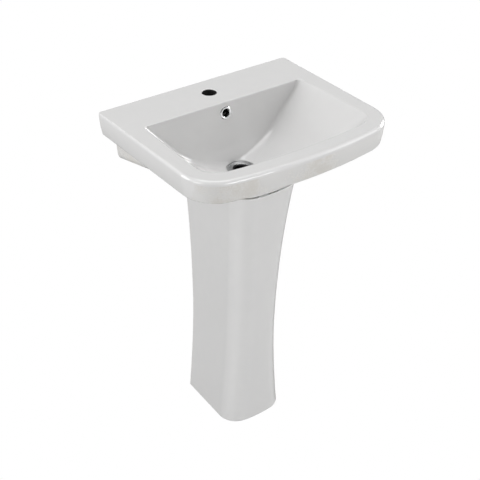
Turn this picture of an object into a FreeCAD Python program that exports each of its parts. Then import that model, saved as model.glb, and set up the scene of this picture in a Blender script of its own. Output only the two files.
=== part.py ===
"""Pedestal wash basin: a vitreous-china basin with a tap deck, standing on a hollow full pedestal,
with its slotted waste, bottle trap and waste pipe inside.

Millimetres. +Z up, floor at z = 0, wall plane at y = +basin_depth / 2, user at -Y, symmetric about x = 0.
"""
import FreeCAD, Part

import math
import os

from FreeCAD import Vector

# ---------------------------------------------------------------- overall
basin_width = 530.0
basin_depth = 446.0
rim_height = 850.0

# ---------------------------------------------------------------- basin, outside
deck_thickness = 14.0          # china under the deck and rim
china_wall = 12.0              # china of the skirt, gussets and bowl
skirt_height = 57.0            # outer face of the rim, top to bottom edge
skirt_draft = 6.6              # how far the skirt's bottom edge stands in from the top edge
skirt_belly = 1.5              # how little of that draft is used up half way down
skirt_front_radius = 88.0      # front corners, seen from above
skirt_back_radius = 9.0        # back corners, seen from above
skirt_front_bow = 31.0         # rise of the curved front edge
rim_edge_radius = 7.0          # rounding of the rim's outer top edge
lip_edge_radius = 5.0          # rounding of the skirt's bottom edge
back_ground_off = 0.5          # china ground off the fired back, so that it lies flat on the wall

# ---------------------------------------------------------------- basin, bowl
deck_depth = 124.0             # wall to the bowl's back edge
rim_front = 42.0               # bowl's front edge to the basin's front
rim_side_back = 46.0           # rim beside the bowl, at the deck
rim_side_front = 37.0          # rim beside the bowl, at the front
bowl_bow = 19.0
bowl_back_radius = 9.0
bowl_front_radius = 50.0
bowl_edge_radius = 4.0         # rounding of the bowl's top edge
bowl_depth = 144.0             # rim to the rim of the waste's recess
# The bowl's walls going down: share of the depth, then how much of the way from the waste's
# recess out to the mouth is left at the sides, the back and the front.
bowl_profile = (
    (0.21, 0.865, 0.89, 0.91),
    (0.42, 0.715, 0.79, 0.79),
    (0.62, 0.570, 0.65, 0.64),
    (0.76, 0.435, 0.48, 0.49),
    (0.87, 0.275, 0.25, 0.31),
    (0.95, 0.115, 0.07, 0.11),
    (0.985, 0.030, 0.015, 0.03),
)

# ---------------------------------------------------------------- basin, holes and underside
tap_hole_radius = 17.5
tap_from_wall = 60.0
hole_lip_radius = 2.2          # glaze rounding at the tap hole
waste_from_wall = 188.0
waste_hole_clearance = 2.1     # round the waste's tail
waste_recess_radius = 34.5
waste_recess_depth = 4.0       # recess that the flange and its washer lie in
waste_boss_radius = 37.0
waste_boss_height = 46.0       # bottom of the recess to the underside of the boss
overflow_drop = 26.5           # rim to the overflow hole's centre
overflow_hole_radius = 12.5
back_wall_lean = 6.3           # degrees that the bowl's back wall leans from upright
duct_width = 30.0              # waterway from the overflow to the waste hole
duct_depth = 11.0
duct_wall = 9.0
apron_half_width = 226.0       # low body at the wall, at the skirt's bottom edge
apron_draft = 0.09             # how fast it narrows downwards
apron_drop = 138.0             # rim to the apron's bottom edge at the wall
apron_rise = 0.235             # slope of that edge, upwards from the wall
apron_edge_radius = 20.0
wall_bolt_spacing = 280.0
wall_bolt_drop = 88.0          # rim to the wall bolts
seat_rib_rise = 39.0           # the rib's top above the waste's recess, inside the bowl's wall
seat_rib_width = 10.0
seat_rib_inset = 1.0           # inside the pedestal's outer face
seat_rib_back_gap = 2.0        # its ends stop short of the bowl's back edge

# ---------------------------------------------------------------- pedestal
pedestal_height = 698.0
pedestal_from_wall = 58.0
pedestal_wall = 12.0
pedestal_base_half = 78.0      # half widths at the back edge
pedestal_waist_half = 60.5
pedestal_top_half = 80.0
pedestal_waist_height = 280.0
pedestal_flare = 9.0           # how much wider it is at its front corners than at its back
pedestal_front_base = 266.0    # wall to the front face, at the floor
pedestal_front_top = 315.0     # and at the top
pedestal_corner = 50.0
pedestal_bow = 13.0
pedestal_opening_half = 40.0   # half width of the open back
pedestal_foot_height = 14.0
pedestal_foot_width = 22.0
base_curve = 1.6               # exponents of the waisted outline
top_curve = 2.2
front_curve = 2.25
floor_bolt_from_wall = 110.0
pad_thickness = 3.0
pad_length = 26.0

# ---------------------------------------------------------------- bushes for the fixings
wall_bolt_radius = 5.25
wall_bush_radius = 9.0
wall_bush_flange = 14.0
floor_bolt_radius = 2.75
floor_bush_radius = 5.0
floor_bush_flange = 8.0
bush_flange_thickness = 3.0

# ---------------------------------------------------------------- waste
flange_radius = 33.0
flange_thickness = 3.0
plug_seat_radius = 17.0
waste_bore_radius = 16.4       # below the plug's seat
waste_tail_radius = 20.9       # outside of the threaded tail
waste_tail_length = 82.0
waste_window_width = 14.0      # the four windows that take in the overflow's water
waste_window_height = 20.0
waste_window_drop = 19.0       # top of the flange to the windows
grid_drop = 44.0               # top of the flange to the cross bars that catch hair
grid_bar = 3.0
grid_height = 4.0
washer_thickness = 2.0
cone_thickness = 7.0
friction_ring_thickness = 1.5
backnut_wall = 6.1             # at its flats
backnut_height = 10.0
thread_clearance = 0.25

# ---------------------------------------------------------------- overflow ring
ring_radius = 15.5
ring_thickness = 2.6
ring_bore = 9.6
ring_barrel_length = 11.0

# ---------------------------------------------------------------- trap
pipe_radius = 16.0
pipe_wall = 1.6
inlet_washer_thickness = 3.0
trap_collar_thickness = 3.5
collar_clearance = 0.75        # collars and slip rings inside the nuts' threads
nut_wall = 4.85                # the nuts' wall, out to the tips of their ribs
inlet_nut_height = 22.0
slip_ring_thickness = 1.4
nut_lip = 4.0
trap_body_radius = 29.0
trap_body_wall = 3.0
trap_body_height = 56.0
trap_neck = 40.0               # collar's top to the body's shoulder
trap_flange_radius = 34.5
trap_flange_thickness = 3.0
dip_tube_length = 130.0
trap_cup_radius = 35.0         # at its grip
trap_cup_grip = 24.0
trap_cup_wall = 2.6
trap_cup_length = 84.0
trap_cup_engagement = 9.0
trap_seal_thickness = 2.4
trap_arm_lift = 0.5            # the arm's underside above the flange's
outlet_reach = 52.0            # drain axis to the outlet's mouth
outlet_socket_wall = 5.0       # its thread included
trap_arm_wall = 1.5
trap_shoulder = 4.0            # chamfer outside at the shoulder
trap_chamfer = 3.0             # and inside, and where the arm widens to its socket
outlet_insert = 16.0
outlet_washer_thickness = 3.0
outlet_nut_travel = 9.0
witness_groove = (0.3, 1.5)    # depth and width of the pipe's insertion mark
part_gap = 0.3                 # between pieces of different bodies

grip_rib_radius = 1.5          # ribs on the nuts and the cup
nut_ribs = 12
cup_ribs = 16

# ---------------------------------------------------------------- worked out
wall_y = basin_depth / 2
front_y = -basin_depth / 2
half_width = basin_width / 2
skirt_bottom_z = rim_height - skirt_height
deck_bottom_z = rim_height - deck_thickness
bowl_back_y = wall_y - deck_depth
bowl_front_y = front_y + rim_front
bowl_half_back = half_width - rim_side_back
bowl_half_front = half_width - rim_side_front
tap_y = wall_y - tap_from_wall
waste_y = wall_y - waste_from_wall
recess_z = rim_height - bowl_depth - waste_recess_depth
boss_bottom_z = recess_z - waste_boss_height
flange_under_z = recess_z + washer_thickness
flange_top_z = flange_under_z + flange_thickness
tail_bottom_z = flange_top_z - waste_tail_length
waste_hole_radius = waste_tail_radius + waste_hole_clearance
backnut_flats = 2 * (waste_tail_radius + backnut_wall)
trap_collar_radius = waste_tail_radius + thread_clearance - collar_clearance
window_top_z = flange_top_z - waste_window_drop
window_bottom_z = window_top_z - waste_window_height
lean = math.radians(back_wall_lean)
overflow_z = rim_height - overflow_drop
overflow_y = bowl_back_y - overflow_drop * math.tan(lean)
pedestal_back_y = wall_y - pedestal_from_wall
floor_bolt_y = wall_y - floor_bolt_from_wall
rib_bottom_z = pedestal_height + pad_thickness
rib_top_z = recess_z + seat_rib_rise
fired_back_y = wall_y + back_ground_off
wall_bolt_x = wall_bolt_spacing / 2
floor_bolt_x = pedestal_base_half - pedestal_wall - pedestal_foot_width / 2 + 1.0
wall_bolt_z = rim_height - wall_bolt_drop

# The waste's stack below the basin, downwards.
cone_bottom_z = boss_bottom_z - cone_thickness
friction_bottom_z = cone_bottom_z - friction_ring_thickness
backnut_bottom_z = friction_bottom_z - backnut_height

# The trap's inlet, downwards from the end of the tail.
collar_top_z = tail_bottom_z - inlet_washer_thickness
collar_bottom_z = collar_top_z - trap_collar_thickness
inlet_slip_top_z = collar_bottom_z - part_gap
inlet_slip_bottom_z = inlet_slip_top_z - slip_ring_thickness
inlet_lip_top_z = inlet_slip_bottom_z - part_gap
inlet_nut_bottom_z = inlet_lip_top_z - nut_lip
shoulder_z = collar_top_z - trap_neck
body_bottom_z = shoulder_z - trap_body_height
outlet_socket_radius = pipe_radius + outlet_socket_wall

# The cup screws up over the body's lower end to just below its flange.
cup_top_z = body_bottom_z + trap_cup_engagement
seal_bottom_z = cup_top_z + part_gap
seal_top_z = seal_bottom_z + trap_seal_thickness
flange_bottom_z = seal_top_z + part_gap
arm_radius = pipe_radius + trap_arm_wall
outlet_z = flange_bottom_z + trap_arm_lift + arm_radius
cup_bottom_z = cup_top_z - trap_cup_length

# The trap's outlet, from its mouth towards the wall.
mouth_y = waste_y + outlet_reach
outlet_washer_y = mouth_y + outlet_washer_thickness
outlet_slip_y = outlet_washer_y + part_gap
outlet_lip_y = outlet_slip_y + slip_ring_thickness + part_gap
outlet_nut_start_y = mouth_y - outlet_nut_travel
outlet_nut_end_y = outlet_lip_y + nut_lip


# ---------------------------------------------------------------- shapes that many pieces use
def cylinder(radius, z_low, z_high, x=0.0, y=0.0):
    return Part.makeCylinder(radius, z_high - z_low, Vector(x, y, z_low))


def box(x0, x1, y0, y1, z0, z1):
    return Part.makeBox(x1 - x0, y1 - y0, z1 - z0, Vector(x0, y0, z0))


def turned(points, x=0.0, y=0.0):
    """A solid turned about the upright line through (x, y), from (radius, z) points."""
    wire = Part.makePolygon([Vector(r, 0, z) for r, z in points + points[:1]])
    solid = Part.Face(wire).revolve(Vector(0, 0, 0), Vector(0, 0, 1), 360)
    solid.translate(Vector(x, y, 0))
    return solid


def ring(outer, inner, z_low, z_high, x=0.0, y=0.0):
    return turned([(inner, z_low), (outer, z_low), (outer, z_high), (inner, z_high)], x, y)


def hexagon(flats, z_low, z_high, x=0.0, y=0.0):
    corner = flats / math.sqrt(3)
    points = [Vector(x + corner * math.cos(math.radians(60 * i)),
                     y + corner * math.sin(math.radians(60 * i)), z_low) for i in range(7)]
    return Part.Face(Part.makePolygon(points)).extrude(Vector(0, 0, z_high - z_low))


def laid_along_y(solid, z):
    """Turn a piece made about the z axis so that its up points to the wall, at height z."""
    solid.rotate(Vector(0, 0, 0), Vector(1, 0, 0), -90)
    solid.translate(Vector(0, 0, z))
    return solid


def outline(half_back, half_front, y_back, y_front, r_back, r_front, bow, z):
    """A closed wire at height z: straight back, splayed sides, a bowed front and round corners."""
    big = (half_front ** 2 + bow ** 2) / (2 * bow)
    bow_centre = Vector(0, y_front + big, 0)
    back, front = Vector(half_back, y_back, 0), Vector(half_front, y_front + bow, 0)
    along = (front - back).normalize()
    inward = Vector(along.y, -along.x, 0)
    # The front corner's centre is r_front inside the side line and inside the bowed front.
    start = back + inward * r_front - bow_centre
    b = start.dot(along)
    reach = -b + math.sqrt(b * b - start.dot(start) + (big - r_front) ** 2)
    corner = back + inward * r_front + along * reach
    outward = (corner - bow_centre).normalize()
    # The back corner's centre is r_back inside the side line and inside the back line.
    step = -(r_back + inward.y * r_back) / along.y
    small = back + inward * r_back + along * step
    wall_side = Vector(0, 1, 0)

    def at(centre, radius, direction, side=1):
        point = centre + direction * radius
        return Vector(side * point.x, point.y, z)

    def corner_arc(centre, radius, one, other, side):
        middle = (one + other).normalize()
        return Part.Arc(at(centre, radius, one, side), at(centre, radius, middle, side),
                        at(centre, radius, other, side))

    side_out = inward * -1
    edges = [
        Part.LineSegment(at(small, r_back, wall_side, -1), at(small, r_back, wall_side)),
        corner_arc(small, r_back, wall_side, side_out, 1),
        Part.LineSegment(at(small, r_back, side_out), at(corner, r_front, side_out)),
        corner_arc(corner, r_front, side_out, outward, 1),
        Part.Arc(at(corner, r_front, outward), Vector(0, y_front, z), at(corner, r_front, outward, -1)),
        corner_arc(corner, r_front, outward, side_out, -1),
        Part.LineSegment(at(corner, r_front, side_out, -1), at(small, r_back, side_out, -1)),
        corner_arc(small, r_back, side_out, wall_side, -1),
    ]
    return Part.Wire([edge.toShape() for edge in edges])


def loft(wires, ruled=False):
    return Part.makeLoft(wires, True, ruled)


def flat_edges(shape, z, y_below):
    """The edges at height z, except those that lie wholly behind y_below."""
    return [edge for edge in shape.Edges
            if abs(edge.BoundBox.ZMin - z) < 0.05 and abs(edge.BoundBox.ZMax - z) < 0.05
            and edge.BoundBox.YMin < y_below]


# ---------------------------------------------------------------- basin
def rim_outline(inset, z, y_back):
    return outline(half_width - inset, half_width - inset, y_back, front_y + inset,
                   skirt_back_radius, skirt_front_radius - inset, skirt_front_bow, z)


def ahead_of_wall(solid, z_low, z_high):
    """The part of a solid between two heights, with its back ground flat at the wall."""
    return solid.common(box(-half_width, half_width, front_y, wall_y, z_low, z_high))


def rim_block():
    """The rim as a solid block, its side drawn in a little towards the bottom."""
    block = loft([rim_outline(skirt_draft, skirt_bottom_z, fired_back_y),
                  rim_outline(skirt_belly, rim_height - skirt_height / 2, fired_back_y),
                  rim_outline(0.0, rim_height, fired_back_y)])
    block = block.makeFillet(rim_edge_radius, flat_edges(block, rim_height, wall_y - 0.5))
    block = block.makeFillet(lip_edge_radius, flat_edges(block, skirt_bottom_z, wall_y - 0.5))
    return ahead_of_wall(block, skirt_bottom_z, rim_height)


def rim_hollow():
    """The open space under the rim and the deck."""
    back = wall_y - china_wall
    return loft([rim_outline(skirt_draft + china_wall, skirt_bottom_z - 1.0, back),
                 rim_outline(skirt_belly + china_wall, deck_bottom_z, back)])


def apron_block(inset, extra):
    """The low body at the wall: drafted sides, and a bottom that rises from the wall.

    With an inset it is the hollow inside it, taken lower by extra.
    """
    run = (apron_drop - skirt_height) / apron_rise
    low = rim_height - apron_drop - extra
    back = wall_y - inset
    top = deck_bottom_z + 1.0

    def across(z):
        half = apron_half_width - apron_draft * (skirt_bottom_z - z) - inset
        return Part.makePolygon([Vector(x, back - y, z) for x, y in
                                 ((-half, 0), (half, 0), (half, run), (-half, run), (-half, 0))])

    tub = loft([across(low), across(top)], ruled=True)
    start = fired_back_y
    rise = [Vector(-half_width, start, low), Vector(-half_width, start - run, low + run * apron_rise),
            Vector(-half_width, start - run - 1, low + run * apron_rise),
            Vector(-half_width, start - run - 1, low - 1), Vector(-half_width, start, low - 1)]
    below = Part.Face(Part.makePolygon(rise + rise[:1])).extrude(Vector(basin_width, 0, 0))
    return tub.cut(below)


def apron():
    block = apron_block(-back_ground_off, 0.0)
    low_sides = []
    for edge in block.Edges:
        a, b = edge.Vertexes[0].Point, edge.Vertexes[-1].Point
        if a.x * b.x > 0 and abs(a.z - b.z) > 5 and abs(a.y - b.y) > 50:
            low_sides.append(edge)
    block = block.makeFillet(apron_edge_radius, low_sides)
    return block.cut(apron_block(china_wall, 4 * china_wall))


def bowl_station(share, side, back, front, grow=0.0):
    """The bowl's inside outline at a share of its depth, grown by a wall's thickness."""
    seat = waste_recess_radius
    half_back = seat + (bowl_half_back - seat) * side + grow
    half_front = seat + (bowl_half_front - seat) * side + grow
    y_back = waste_y + seat + (bowl_back_y - waste_y - seat) * back + grow
    y_front = waste_y - seat + (bowl_front_y - waste_y + seat) * front - grow
    # The corners go from the mouth's radii to the recess's radius, late at the front.
    round_share = 1 - side ** 0.8
    r_back = bowl_back_radius + (seat - bowl_back_radius) * round_share ** 2
    r_front = bowl_front_radius + (seat - bowl_front_radius) * share ** 6
    bow = 1.0 + (bowl_bow - 1.0) * front
    z = rim_height - bowl_depth * share - grow * (0.55 + 0.45 * share)
    return outline(half_back, half_front, y_back, y_front, r_back + grow, r_front + grow, bow, z)


def bowl_mouth(out, depth):
    """The bowl's top outline, opened out where its edge is rounded."""
    return outline(bowl_half_back + out, bowl_half_front + out, bowl_back_y + out, bowl_front_y - out,
                   bowl_back_radius + out, bowl_front_radius + out, bowl_bow, rim_height - depth)


def bowl_inside():
    """Everything that is air inside the bowl, down to the bottom of the waste's recess."""
    stations = [(0.0, 1.0, 1.0, 1.0)] + list(bowl_profile)
    body = loft([bowl_station(*station) for station in stations])
    pan_top = rim_height - bowl_depth * bowl_profile[-1][0] + 0.5
    pan = cylinder(waste_recess_radius, recess_z, pan_top, 0, waste_y)
    rounding = []
    for angle in (0, 22.5, 45, 67.5, 90):
        out = bowl_edge_radius * (1 - math.cos(math.radians(angle)))
        depth = bowl_edge_radius * (1 - math.sin(math.radians(angle)))
        rounding.append(bowl_mouth(out, depth))
    return body.fuse(pan).fuse(loft(rounding, ruled=True))


def bowl_outside():
    stations = [(0.0, 1.0, 1.0, 1.0)] + list(bowl_profile[:-1])
    return loft([bowl_station(*station, grow=china_wall) for station in stations])


def leaning_block(half, y_low, y_high, z_low, z_high):
    """A block that leans like the bowl's back wall; y is given at the rim's height."""
    def shift(z):
        return -(rim_height - z) * math.tan(lean)

    side = [Vector(-half, y_low + shift(z_low), z_low), Vector(-half, y_high + shift(z_low), z_low),
            Vector(-half, y_high + shift(z_high), z_high), Vector(-half, y_low + shift(z_high), z_high)]
    return Part.Face(Part.makePolygon(side + side[:1])).extrude(Vector(2 * half, 0, 0))


def duct_block():
    """China round the overflow's waterway, behind the bowl and down into the boss."""
    half = duct_width / 2 + duct_wall
    back = bowl_back_y + china_wall + duct_depth + duct_wall
    upright = leaning_block(half, bowl_back_y - china_wall, back, boss_bottom_z, deck_bottom_z + 1.0)
    foot = box(-half, half, waste_y, bowl_back_y, boss_bottom_z, recess_z)
    return upright.fuse(foot)


def duct_passage():
    near = bowl_back_y + china_wall
    top = overflow_z + overflow_hole_radius
    upright = leaning_block(duct_width / 2, near, near + duct_depth, window_bottom_z, top)
    reach = near + duct_depth - (rim_height - window_top_z) * math.tan(lean)
    return upright.fuse(box(-duct_width / 2, duct_width / 2, waste_y, reach, window_bottom_z, window_top_z))


def overflow_axis_solid(solid):
    """Place a piece made about the z axis, mouth up at z = 0, on the overflow hole's axis."""
    solid.rotate(Vector(0, 0, 0), Vector(1, 0, 0), 90 - back_wall_lean)
    solid.translate(Vector(0, overflow_y, overflow_z))
    return solid


def ring_seat():
    """The flat that is ground for the overflow ring where the back wall curves."""
    return overflow_axis_solid(cylinder(ring_radius + part_gap, 0.0, ring_thickness))


def seat_rib():
    """The rib under the bowl that rests on the pads along the pedestal's front and sides."""
    inner = seat_rib_inset + seat_rib_width
    rib = pedestal_ring(seat_rib_inset, inner, rib_bottom_z, rib_top_z - rib_bottom_z)
    back = bowl_back_y - seat_rib_back_gap
    return rib.common(box(-half_width, half_width, front_y, back, rib_bottom_z, rim_height))


def room_for_pedestal():
    """The space over the pedestal's top, up to the rib's underside, that the bowl keeps clear of."""
    return pedestal_ring(-seat_rib_back_gap, pedestal_wall + seat_rib_back_gap, pedestal_height, pad_thickness)


def flared_hole(radius, lip, z_low, z_high, y):
    """A round hole whose top edge is rounded over by lip."""
    corner = Vector(radius + lip * (1 - math.sqrt(0.5)), 0, z_high - lip * (1 - math.sqrt(0.5)))
    rounded = Part.Arc(Vector(radius, 0, z_high - lip), corner, Vector(radius + lip, 0, z_high)).toShape()
    rest = Part.makePolygon([Vector(radius + lip, 0, z_high), Vector(radius + lip, 0, z_high + 1),
                             Vector(0, 0, z_high + 1), Vector(0, 0, z_low - 1),
                             Vector(radius, 0, z_low - 1), Vector(radius, 0, z_high - lip)])
    cutter = Part.Face(Part.Wire(rest.Edges + [rounded])).revolve(Vector(0, 0, 0), Vector(0, 0, 1), 360)
    cutter.translate(Vector(0, y, 0))
    return cutter


# The basin is one casting, kept as three solids that touch: the deck, the skirt with its apron, and the bowl.
def basin_deck():
    """The rim and the tap deck, down to the deck's underside."""
    china = ahead_of_wall(rim_block(), deck_bottom_z, rim_height).cut(bowl_inside())
    hole = flared_hole(tap_hole_radius, hole_lip_radius, deck_bottom_z, rim_height, tap_y)
    return china.cut(hole).cut(ring_seat()).removeSplitter()


def basin_skirt():
    """The skirt under the rim, and the apron against the wall with its fixing holes."""
    china = rim_block().cut(rim_hollow()).fuse(apron())
    china = ahead_of_wall(china, 0.0, deck_bottom_z).cut(bowl_outside()).cut(duct_block())
    for x in (-wall_bolt_x, wall_bolt_x):
        hole = cylinder(wall_bush_radius, wall_y - china_wall - 1.0, wall_y + 1.0, x)
        china = china.cut(laid_along_y(hole, wall_bolt_z))
    return china.removeSplitter()


def basin_bowl():
    """The bowl, its boss for the waste, the overflow's waterway and the rib that rests on the pedestal."""
    china = bowl_outside().fuse(duct_block())
    china = china.fuse(cylinder(waste_boss_radius, boss_bottom_z, recess_z + 1.0, 0, waste_y))
    china = china.fuse(seat_rib())
    china = china.cut(bowl_inside()).cut(duct_passage()).cut(room_for_pedestal())
    china = china.cut(cylinder(waste_hole_radius, boss_bottom_z - 1.0, recess_z + 1.0, 0, waste_y))
    reach = china_wall + duct_depth / 2
    china = china.cut(overflow_axis_solid(cylinder(overflow_hole_radius, -reach, 1.0)))
    china = china.cut(ring_seat())
    return ahead_of_wall(china, 0.0, deck_bottom_z).removeSplitter()


# ---------------------------------------------------------------- pedestal
def pedestal_outline(z, inset=0.0):
    waist = pedestal_waist_half
    if z < pedestal_waist_height:
        up = 1 - z / pedestal_waist_height
        half = waist + (pedestal_base_half - waist) * up ** base_curve
    else:
        up = (z - pedestal_waist_height) / (pedestal_height - pedestal_waist_height)
        half = waist + (pedestal_top_half - waist) * up ** top_curve
    rise = (z / pedestal_height) ** front_curve
    front = pedestal_front_base + (pedestal_front_top - pedestal_front_base) * rise
    return outline(half - inset, half + pedestal_flare - inset, pedestal_back_y - inset,
                   wall_y - front + inset, max(1.5, 3.0 - inset), pedestal_corner - inset, pedestal_bow, z)


def pedestal_loft(inset):
    steps = 10
    return loft([pedestal_outline(pedestal_height * i / steps, inset) for i in range(steps + 1)])


def pedestal_ring(inset_out, inset_in, z, height):
    """A straight ring that follows the pedestal's top edge, between two insets."""
    up = Vector(0, 0, height)
    lift = Vector(0, 0, z - pedestal_height)
    outer = Part.Face(pedestal_outline(pedestal_height, inset_out)).extrude(up)
    inner = Part.Face(pedestal_outline(pedestal_height, inset_in)).extrude(up)
    solid = outer.cut(inner)
    solid.translate(lift)
    return solid


def pedestal():
    hollow = pedestal_loft(pedestal_wall)
    foot = box(-half_width, half_width, front_y, wall_y, -1.0, pedestal_foot_height)
    foot_hollow = pedestal_loft(pedestal_wall + pedestal_foot_width)
    shell = pedestal_loft(0.0).cut(hollow.cut(foot)).cut(foot_hollow)
    opening = box(-pedestal_opening_half, pedestal_opening_half, pedestal_back_y - 2 * pedestal_foot_width,
                  pedestal_back_y + 1.0, -1.0, pedestal_height + 1.0)
    shell = shell.cut(opening)
    for x in (-floor_bolt_x, floor_bolt_x):
        shell = shell.cut(cylinder(floor_bush_radius, -1.0, pedestal_foot_height + 1.0, x, floor_bolt_y))
    return shell


def seat_pads():
    """Four soft pads between the pedestal's top edge and the basin's rib."""
    strip = pedestal_ring(1.0, 1.0 + seat_rib_width, pedestal_height, pad_thickness)
    side_y = bowl_back_y - 2 * pad_length
    pads = []
    for side in (-1, 1):
        x0, x1 = sorted((0, side * half_width))
        pads.append(strip.common(box(x0, x1, side_y, side_y + pad_length, 0, rim_height)))
        x0, x1 = sorted((side * pad_length / 2, side * pad_length * 1.5))
        pads.append(strip.common(box(x0, x1, front_y, waste_y - pad_length, 0, rim_height)))
    return Part.makeCompound([solid for pad in pads for solid in pad.Solids])


# ---------------------------------------------------------------- bushes for the fixings
def bush(outer, flange, bore, length):
    """A plain flanged bush standing on z = 0, its flange on top."""
    top = length + bush_flange_thickness
    return turned([(bore, 0), (outer, 0), (outer, length), (flange, length), (flange, top), (bore, top)])


def wall_bushes():
    bushes = []
    for x in (-wall_bolt_x, wall_bolt_x):
        piece = bush(wall_bush_radius, wall_bush_flange, wall_bolt_radius, china_wall)
        piece.rotate(Vector(0, 0, 0), Vector(1, 0, 0), 90)
        piece.translate(Vector(x, wall_y, wall_bolt_z))
        bushes.append(piece)
    return Part.makeCompound(bushes)


def floor_bushes():
    bushes = []
    for x in (-floor_bolt_x, floor_bolt_x):
        piece = bush(floor_bush_radius, floor_bush_flange, floor_bolt_radius, pedestal_foot_height)
        piece.translate(Vector(x, floor_bolt_y, 0))
        bushes.append(piece)
    return Part.makeCompound(bushes)


# ---------------------------------------------------------------- waste
def waste_body():
    dish = flange_thickness * 0.4
    body = turned([(waste_bore_radius, tail_bottom_z), (waste_tail_radius, tail_bottom_z),
                   (waste_tail_radius, flange_under_z), (flange_radius, flange_under_z),
                   (flange_radius, flange_top_z - 1.0), (flange_radius - 1.0, flange_top_z),
                   (flange_radius - 4.0, flange_top_z), (plug_seat_radius + 3.0, flange_top_z - dish),
                   (plug_seat_radius, flange_top_z - dish - 3.0), (plug_seat_radius, window_top_z),
                   (waste_bore_radius, window_top_z)], 0, waste_y)
    half = waste_window_width / 2
    reach = waste_tail_radius + 1.0
    across = box(-reach, reach, waste_y - half, waste_y + half, window_bottom_z, window_top_z)
    along = box(-half, half, waste_y - reach, waste_y + reach, window_bottom_z, window_top_z)
    body = body.cut(across.fuse(along))
    bar_top = flange_top_z - grid_drop
    bar_reach = waste_bore_radius + 1.0
    for degrees in (45, 135):
        bar = box(-bar_reach, bar_reach, -grid_bar / 2, grid_bar / 2, bar_top - grid_height, bar_top)
        bar.rotate(Vector(0, 0, 0), Vector(0, 0, 1), degrees)
        bar.translate(Vector(0, waste_y, 0))
        body = body.fuse(bar)
    return body


def waste_top_washer():
    inner = waste_tail_radius + thread_clearance
    return ring(flange_radius - 2.0, inner, recess_z, flange_under_z, 0, waste_y)


def waste_bottom_washer():
    """A stepped rubber washer, its step inside the basin's hole."""
    inner = waste_tail_radius + thread_clearance
    step = waste_hole_radius - thread_clearance
    return turned([(inner, cone_bottom_z), (waste_boss_radius - 6.0, cone_bottom_z),
                   (waste_boss_radius - 4.0, boss_bottom_z), (step, boss_bottom_z),
                   (step - 0.5, boss_bottom_z + 3.0), (inner, boss_bottom_z + 3.0)], 0, waste_y)


def waste_friction_ring():
    inner = waste_tail_radius + thread_clearance
    return ring(waste_boss_radius - 7.0, inner, friction_bottom_z, cone_bottom_z, 0, waste_y)


def waste_backnut():
    nut = hexagon(backnut_flats, backnut_bottom_z, friction_bottom_z, 0, waste_y)
    bevel = turned([(0, backnut_bottom_z), (backnut_flats / 2, backnut_bottom_z),
                    (backnut_flats / 2 + 6.0, backnut_bottom_z + 3.5),
                    (backnut_flats / 2 + 6.0, friction_bottom_z), (0, friction_bottom_z)], 0, waste_y)
    return nut.common(bevel).cut(cylinder(waste_tail_radius, backnut_bottom_z - 1, friction_bottom_z + 1,
                                          0, waste_y))


def overflow_ring():
    flange = turned([(ring_bore, -ring_barrel_length), (overflow_hole_radius, -ring_barrel_length),
                     (overflow_hole_radius, 0), (ring_radius, 0), (ring_radius, ring_thickness * 0.45),
                     (ring_radius - 1.6, ring_thickness), (ring_bore + 1.8, ring_thickness),
                     (ring_bore, ring_thickness * 0.3)])
    return overflow_axis_solid(flange)


# ---------------------------------------------------------------- trap
def ribbed(solid, radius, count, z_low, z_high, x=0.0, y=0.0):
    """Upright grip ribs round a turned piece."""
    for i in range(count):
        angle = 2 * math.pi * i / count
        place = x + radius * math.cos(angle), y + radius * math.sin(angle)
        solid = solid.fuse(cylinder(grip_rib_radius, z_low, z_high, *place))
    return solid


def union_nut(height, thread, bore):
    """A ribbed nut standing on z = 0: its lip below, its thread above."""
    plain = thread + nut_wall - grip_rib_radius
    nut = turned([(bore, 0), (plain - 2.0, 0), (plain, 2.0), (plain, height), (thread, height),
                  (thread, nut_lip), (bore, nut_lip)])
    return ribbed(nut, plain, nut_ribs, 3.0, height - 2.0)


def trap_inlet_washer():
    return ring(waste_tail_radius - 0.4, pipe_radius - pipe_wall, collar_top_z, tail_bottom_z, 0, waste_y)


def trap_inlet_slip_ring():
    return ring(trap_collar_radius, pipe_radius + part_gap, inlet_slip_bottom_z, inlet_slip_top_z, 0, waste_y)


def trap_inlet_nut():
    nut = union_nut(inlet_nut_height, waste_tail_radius + thread_clearance, pipe_radius + part_gap)
    nut.translate(Vector(0, waste_y, inlet_nut_bottom_z))
    return nut


def trap_body():
    outer, inner = trap_body_radius, trap_body_radius - trap_body_wall
    bore = pipe_radius - pipe_wall
    flange_top = flange_bottom_z + trap_flange_thickness
    body = turned([(0, body_bottom_z), (outer, body_bottom_z), (outer, flange_bottom_z),
                   (trap_flange_radius, flange_bottom_z), (trap_flange_radius, flange_top), (outer, flange_top),
                   (outer, shoulder_z - trap_shoulder), (outer - trap_shoulder, shoulder_z),
                   (pipe_radius, shoulder_z), (pipe_radius, collar_bottom_z),
                   (trap_collar_radius, collar_bottom_z), (trap_collar_radius, collar_top_z),
                   (0, collar_top_z)], 0, waste_y)
    inside = turned([(0, body_bottom_z - 1.0), (inner, body_bottom_z - 1.0),
                     (inner, shoulder_z - trap_body_wall - trap_chamfer),
                     (inner - trap_chamfer, shoulder_z - trap_body_wall), (bore, shoulder_z - 2 * trap_body_wall),
                     (bore, collar_top_z + 1.0), (0, collar_top_z + 1.0)], 0, waste_y)
    flare = outlet_nut_start_y - 2 * trap_chamfer
    arm = turned([(0, waste_y), (arm_radius, waste_y), (arm_radius, flare),
                  (outlet_socket_radius, flare + trap_chamfer), (outlet_socket_radius, mouth_y), (0, mouth_y)])
    port = cylinder(bore, waste_y, mouth_y + 1.0)
    socket = cylinder(pipe_radius, mouth_y - outlet_insert, mouth_y + 1.0)
    body = body.fuse(laid_along_y(arm, outlet_z)).cut(inside)
    return body.cut(laid_along_y(port, outlet_z)).cut(laid_along_y(socket, outlet_z))


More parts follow.
